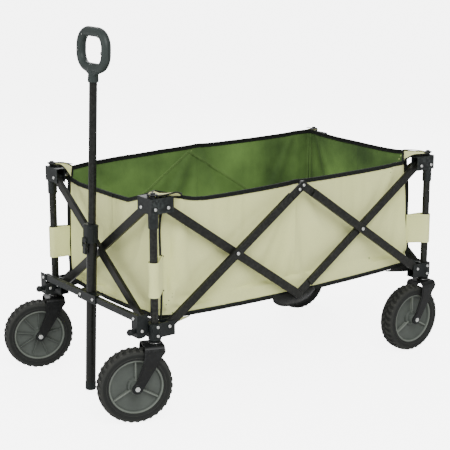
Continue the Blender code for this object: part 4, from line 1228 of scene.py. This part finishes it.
def make_floor():
    for end, sx in (("front", -1), ("rear", 1)):
        low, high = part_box(f"floor_pad_{end}")
        thick = high.z - low.z
        shrink = Vector((0.002, 0.004, 0))
        top, base = pad_surface(low + shrink, high - shrink, sx, thick + 0.0045)
        piece = Piece("pad", "binding", "green_thread")
        rows, columns = top.shape[:2]
        bottom = top.copy()
        bottom[:, :, 2] = base - (top[:, :, 2] - base) * 0.5
        bottom[:, :, 2] = np.maximum(bottom[:, :, 2], low.z - 0.0002)
        total = rows * columns
        verts = np.concatenate([top.reshape(-1, 3), bottom.reshape(-1, 3)]).tolist()
        upper, lower, edges = [], [], []
        for r in range(rows - 1):
            for c in range(columns - 1):
                a = r * columns + c
                upper.append((a, a + 1, a + columns + 1, a + columns))
                lower.append((a + total, a + columns + total, a + columns + 1 + total, a + 1 + total))
        loop = border_of(rows, columns)
        for a, b in zip(loop, loop[1:] + loop[:1]):
            edges.append((b, a, a + total, b + total))
        piece.add((verts, upper + lower + edges), "pad")
        border = [Vector((x, y, base)) for x, y, _ in top.reshape(-1, 3)[loop]]
        piece.add(swept(border, ring_section(0.0022, 8), closed=True, side=(0, 0, 1)), "binding")
        middle = (low.y + high.y) / 2
        for offset in (-0.0665, 0.0665):
            row = int(np.argmin(np.abs(top[:, columns // 2, 1] - middle - offset)))
            line = [Vector(p) for p in top[row, 4:-4]]
            piece.sew(line, (0, 0, 1), "green_thread", length=0.0038)
        line = [Vector(p) for p in top[4:-4, columns // 2]]
        piece.sew(line, (0, 0, 1), "green_thread", length=0.0038)
        obj = piece.build(f"floor_cushion_{end}", f"floor_{end}", f"floor_pad_{end}", slot="pad_fabric")
        fold_floor(obj)
        make_base(end, sx)


def fold_floor(obj):
    """Gives a floor piece its own copy of its mesh."""
    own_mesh(obj)


def make_base(end, sx):
    """The bag's floor cloth under one pad: green lining inside, black outside, a little slack."""
    rows, columns = 40, 44
    grid = np.zeros((rows + 1, columns + 1, 3))
    for r in range(rows + 1):
        y_share = -1 + 2 * r / rows
        for c in range(columns + 1):
            x_share = c / columns
            x = sx * (BAG_X - 0.0005) * x_share
            corner = max(0.0, abs(x) - (BAG_X - 0.013))
            y = y_share * (BAG_Y + 0.0005 - corner * 0.6)
            edge = min(1 - abs(y_share), 1 - x_share)
            rim = 0.2195 + 0.0095 * x_share ** 2
            sag = 0.0025 * (1 - math.exp(-edge * 9)) * (1 + 0.5 * noise.noise(Vector((x * 9, y * 9, 2.2))))
            level = min(rim + 0.010 * (1 - math.exp(-edge * 12)), 0.2285)
            grid[r, c] = (x, y, up(level - sag * 0.3))
    piece = Piece("lining", "under", "binding")
    work = grid if sx > 0 else grid[:, ::-1]
    piece.cloth(work, 0.0014, "under", "lining", "binding",
                threads=[(point[0], point[1]) for point in work.reshape(-1, 3)])
    obj = piece.build(f"bag_base_{end}", f"floor_{end}", "bag", slot="canvas")
    fold_floor(obj)


# ---------------------------------------------------------------- the pull handle
def handle_matrix():
    """The handle's own frame: z up its tube from the middle of the crossbar."""
    axis = Vector(JOINTS["handle_extend"]["axis"]).normalized()
    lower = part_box("handle_lower_tube")
    centre = Vector(JOINTS["fold_handle_base"]["pos_m"])
    lean = math.atan2(axis.x, axis.z)
    foot_x = (lower[0].x + lower[1].x) / 2
    foot_z = (lower[0].z + lower[1].z) / 2
    x = foot_x + (centre.z - foot_z) * math.tan(lean)
    return Matrix.Translation((x, 0, centre.z)) @ Matrix.Rotation(lean, 4, "Y")


def make_grip(place):
    """A closed ring grip with a flared neck, a moulding line and screw recesses."""
    middle = 0.5910
    half_w, half_h, bend, thick = 0.0555, 0.0415, 0.0345, 0.0116
    path = []
    for cx, cy, start in ((half_w - bend, half_h - bend, 0), (bend - half_w, half_h - bend, 90),
                          (bend - half_w, bend - half_h, 180), (half_w - bend, bend - half_h, 270)):
        path += [Vector((0, y, z)) for y, z in arc((cx, cy), bend, start, start + 90, 14)]
    section = [(x, y * 0.98) for x, y in ring_section(thick, 24)]
    ring = Piece("grip", "rivet", "plastic")
    here = place @ Matrix.Translation((0, 0, middle))
    ring.add(swept(path, section, closed=True, side=(1, 0, 0)), "grip", here)
    outer_seam = []
    for k, point in enumerate(path):
        before, after = path[k - 1], path[(k + 1) % len(path)]
        tangent = (after - before).normalized()
        out = Vector((0, tangent.z, -tangent.y))
        outer_seam.append(point + out * (thick - 0.0002))
    ring.add(swept(outer_seam, ring_section(0.0005, 6), closed=True, side=(1, 0, 0)), "plastic", here)
    neck = [(0, -0.0750), (0.0118, -0.0750), (0.0128, -0.0742), (0.0130, -0.0690), (0.0122, -0.0560),
            (0.0126, -0.0500), (0.0145, -0.0440), (0.0150, -0.0400), (0.0100, -0.0330), (0, -0.0320)]
    ring.add(turned(neck, 40), "grip", here)
    # the neck spreads sideways into the ring
    for side in (-1, 1):
        spread = [Vector((0, side * y, z)) for y, z in ((0.002, -0.058), (0.010, -0.050), (0.020, -0.0455),
                                                        (0.031, -0.0405))]
        ring.add(swept(spread, ring_section(0.0098, 16), side=(1, 0, 0)), "grip", here)
    for y, z in ((-0.036, 0.034), (0.036, 0.034), (-0.053, -0.004), (0.053, -0.004), (0.0, -0.064)):
        depth = thick - 0.0004 if z > -0.06 else 0.0122
        screw = facing(Vector((-depth, y, z)), (-1, 0, 0))
        recess = [(0.0022, -0.0006), (0.0040, -0.0006), (0.0040, 0.0004), (0.0030, 0.0008), (0.0022, 0.0004)]
        ring.add(turned(recess, 24, closed=True), "grip", here @ screw)
        head = [(0, -0.0008), (0.0023, -0.0008), (0.0023, 0.0000), (0, 0.0003)]
        ring.add(turned(head, 16), "rivet", here @ screw)
    ring.build("grip_ring", "handle_top", "handle_grip", slot="black_plastic")


def make_tubes(place):
    outer = [(0, -0.2370), (0.0090, -0.2370), (0.0118, -0.2358), (0.0125, -0.2330), (0.0125, 0.1745),
             (0.0120, 0.1750), (0.0104, 0.1750), (0.0104, 0.1700), (0, 0.1700)]
    Piece("tube").add(turned(outer, 48), matrix=place).build(
        "pull_tube_outer", "handle_base", "handle_lower_tube", slot="frame_steel")
    foot = [(0, -0.2378), (0.0095, -0.2378), (0.0122, -0.2370), (0.0131, -0.2345), (0.0131, -0.2180),
            (0.0127, -0.2172), (0, -0.2172)]
    Piece("plastic").add(turned(foot, 48), matrix=place).build(
        "pull_tube_foot", "handle_base", slot="black_plastic")
    inner = [(0, -0.2000), (0.0088, -0.2000), (0.0096, -0.1992), (0.0096, 0.5380), (0, 0.5380)]
    slider = Piece("tube", "plastic", "rivet")
    slider.add(turned(inner, 48), "tube", place)
    # the rolled seam down the back of the tube
    seam = [Vector((0.0095, 0, z)) for z in (-0.19, 0.20, 0.53)]
    slider.add(swept(seam, ring_section(0.0006, 6)), "tube", place)
    slider.build("pull_tube_inner", "handle_top", "handle_upper_tube", slot="frame_steel")


def rounded(half_x, half_y, radius, steps=10):
    """A rounded rectangle, counter-clockwise about the origin."""
    points = []
    for cx, cy, start in ((half_x - radius, half_y - radius, 0), (radius - half_x, half_y - radius, 90),
                          (radius - half_x, radius - half_y, 180), (half_x - radius, radius - half_y, 270)):
        points += arc((cx, cy), radius, start, start + 90, steps)
    return points


def make_collar(place):
    """The moulded collar: a rounded body with a rolled lip, and the ears of the lock lever."""
    refined("lock_lever", "lever", "plastic", 0.0006, "black_plastic")
    piece = Piece("plastic", "tube")
    low, high = 0.1342, 0.1778

    def layer(grow, start, end, radius=0.0122):
        outline = [(x - 0.0036, y) for x, y in rounded(0.0150 + grow, 0.0192 + grow, radius)]
        piece.add(plate(outline, start, end), "plastic", place)

    layer(0.0, low, high - 0.0030)
    layer(0.0005, high - 0.0062, high - 0.0016)
    layer(-0.0014, high - 0.0030, high, 0.0110)
    layer(0.0004, low, low + 0.0030)
    for side in (-1, 1):
        for x in (-0.0085, -0.0040, 0.0005):
            rib = block((x - 0.0008, x + 0.0008), (side * 0.0192 - 0.0004, side * 0.0192 + 0.0004),
                        (low + 0.007, high - 0.011))
            piece.add(rib, "plastic", place)
        ear = block((-0.0225, -0.0148), tuple(sorted((side * 0.0068, side * 0.0090))), (0.1235, low + 0.004))
        piece.add(ear, "plastic", place)
        pin = facing(Vector((-0.0190, side * 0.0090, 0.1280)), (0, side, 0))
        piece.add(dome(0.0019, 0.0008), "tube", place @ pin)
    piece.add(block((-0.0225, -0.0120), (-0.0090, 0.0090), (low + 0.0004, low + 0.0120)), "plastic", place)
    piece.build("collar_shell", "handle_base", "handle_collar", slot="black_plastic", bevel=0.0009, angle=50)


def make_crossbar():
    for side, sy in SIDES:
        pivot = Vector(JOINTS["handle_swing" if side == "near" else "handle_swing_far"]["pos_m"])
        cross_end = Vector(JOINTS["fold_cross_near"]["pos_m"])
        low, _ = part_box(f"swing_bracket_{side}")
        front = low.x + 0.0021
        domes = [(Vector((pivot.x, pivot.y - 0.0120, pivot.z)), (0, -1, 0), 0.0042),
                 (Vector((pivot.x, pivot.y + 0.0120, pivot.z)), (0, 1, 0), 0.0042),
                 (Vector((front, sy * abs(cross_end.y), cross_end.z)), (-1, 0, 0), 0.0042)]
        refined(f"swing_bracket_{side}", f"swing_{side}", "bracket", 0.0006, domes=domes)
        knob_low, knob_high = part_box(f"swing_knob_{side}")
        knob_y, knob_z = (knob_low.y + knob_high.y) / 2, (knob_low.z + knob_high.z) / 2
        profile = [(0, 0), (0.0050, 0), (0.0050, 0.0022), (0.0042, 0.0030), (0.0044, 0.0045),
                   (0.0074, 0.0072), (0.0081, 0.0095), (0.0080, 0.0135), (0.0064, 0.0166), (0.0040, 0.0184),
                   (0, 0.0190)]
        root = facing(Vector((knob_high.x, knob_y, knob_z)), (-1, 0, 0))
        knob = Piece("plastic").add(turned(profile, 36), matrix=root)
        knob.build(f"swing_knob_{side}_shell", f"swing_{side}", f"swing_knob_{side}", slot="black_plastic")
        refined(f"crossbar_{side}", f"cross_{side}", "bracket", 0.0012, "frame_steel")
    low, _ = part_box("crossbar_centre")
    centre = Vector(JOINTS["fold_handle_base"]["pos_m"])
    domes = [(Vector((low.x + 0.0021, y, centre.z)), (-1, 0, 0), 0.0042) for y in (centre.y, -centre.y)]
    refined("crossbar_centre", "handle_base", "bracket", 0.0005, domes=domes)


def make_handle():
    place = handle_matrix()
    make_grip(place)
    make_tubes(place)
    make_collar(place)
    make_crossbar()


# ---------------------------------------------------------------- stage, light and camera
def make_stage():
    floor = bpy.data.meshes.new("floor")
    size = 30.0
    plan = [(-size, -size), (size, -size), (size, size), (-size, size)]
    floor.from_pydata([(x, y, GROUND) for x, y in plan], [], [(0, 1, 2, 3)])
    ground = bpy.data.objects.new("studio_floor", floor)
    bpy.context.scene.collection.objects.link(ground)
    material, add, feed = shader("studio_white", 0.9, specular=0.1)
    place = add("TexCoord").outputs["Object"]
    cloud = add("TexNoise", ("Vector", place), ("Scale", 2.0)).outputs[0]
    feed("Base Color", mixed(add, cloud, (0.93, 0.93, 0.93, 1), (0.95, 0.95, 0.95, 1)))
    # the floor and the backdrop look brighter to the camera than the light they give
    seen = add("LightPath").outputs["Is Camera Ray"]
    feed("Emission Color", mixed(add, seen, (0, 0, 0, 1), (1, 1, 1, 1)))
    feed("Emission Strength", add("Math", (0, seen), (1, 5.5), operation="MULTIPLY").outputs[0])
    floor.materials.append(material)
    world = bpy.data.worlds.new("studio")
    bpy.context.scene.world = world
    world.use_nodes = True
    tree = world.node_tree
    background = tree.nodes["Background"]
    background.inputs[0].default_value = (1.0, 1.0, 1.0, 1)
    ray = tree.nodes.new("ShaderNodeLightPath")
    strength = tree.nodes.new("ShaderNodeMapRange")
    strength.inputs[3].default_value, strength.inputs[4].default_value = 0.58, 9.0
    tree.links.new(ray.outputs["Is Camera Ray"], strength.inputs[0])
    tree.links.new(strength.outputs[0], background.inputs[1])


def soft_light(name, location, target, size, power):
    lamp = bpy.data.lights.new(name, "AREA")
    lamp.size, lamp.energy = size, power
    obj = bpy.data.objects.new(name, lamp)
    obj.location = location
    obj.rotation_euler = (Vector(target) - Vector(location)).to_track_quat("-Z", "Y").to_euler()
    bpy.context.scene.collection.objects.link(obj)


def make_lights():
    middle = (0, 0, up(0.35))
    soft_light("key", (-1.2, -2.6, up(3.0)), middle, 2.2, 135)
    soft_light("fill", (-3.0, 0.4, up(1.6)), middle, 2.0, 34)
    soft_light("back", (1.6, 2.4, up(2.4)), middle, 2.0, 60)


def make_camera():
    camera = bpy.data.cameras.new("camera")
    camera.lens = 101.4
    camera.sensor_width = 36.0
    obj = bpy.data.objects.new("camera", camera)
    obj.location = (-1.954, -2.542, up(1.1535))
    obj.rotation_euler = (math.pi / 2 - 0.2441, 0, -0.6402)
    bpy.context.scene.collection.objects.link(obj)
    bpy.context.scene.camera = obj


make_bars()
make_corners()
make_wheels()
make_handle()
make_bag()
make_floor()
make_stage()
make_lights()
make_camera()
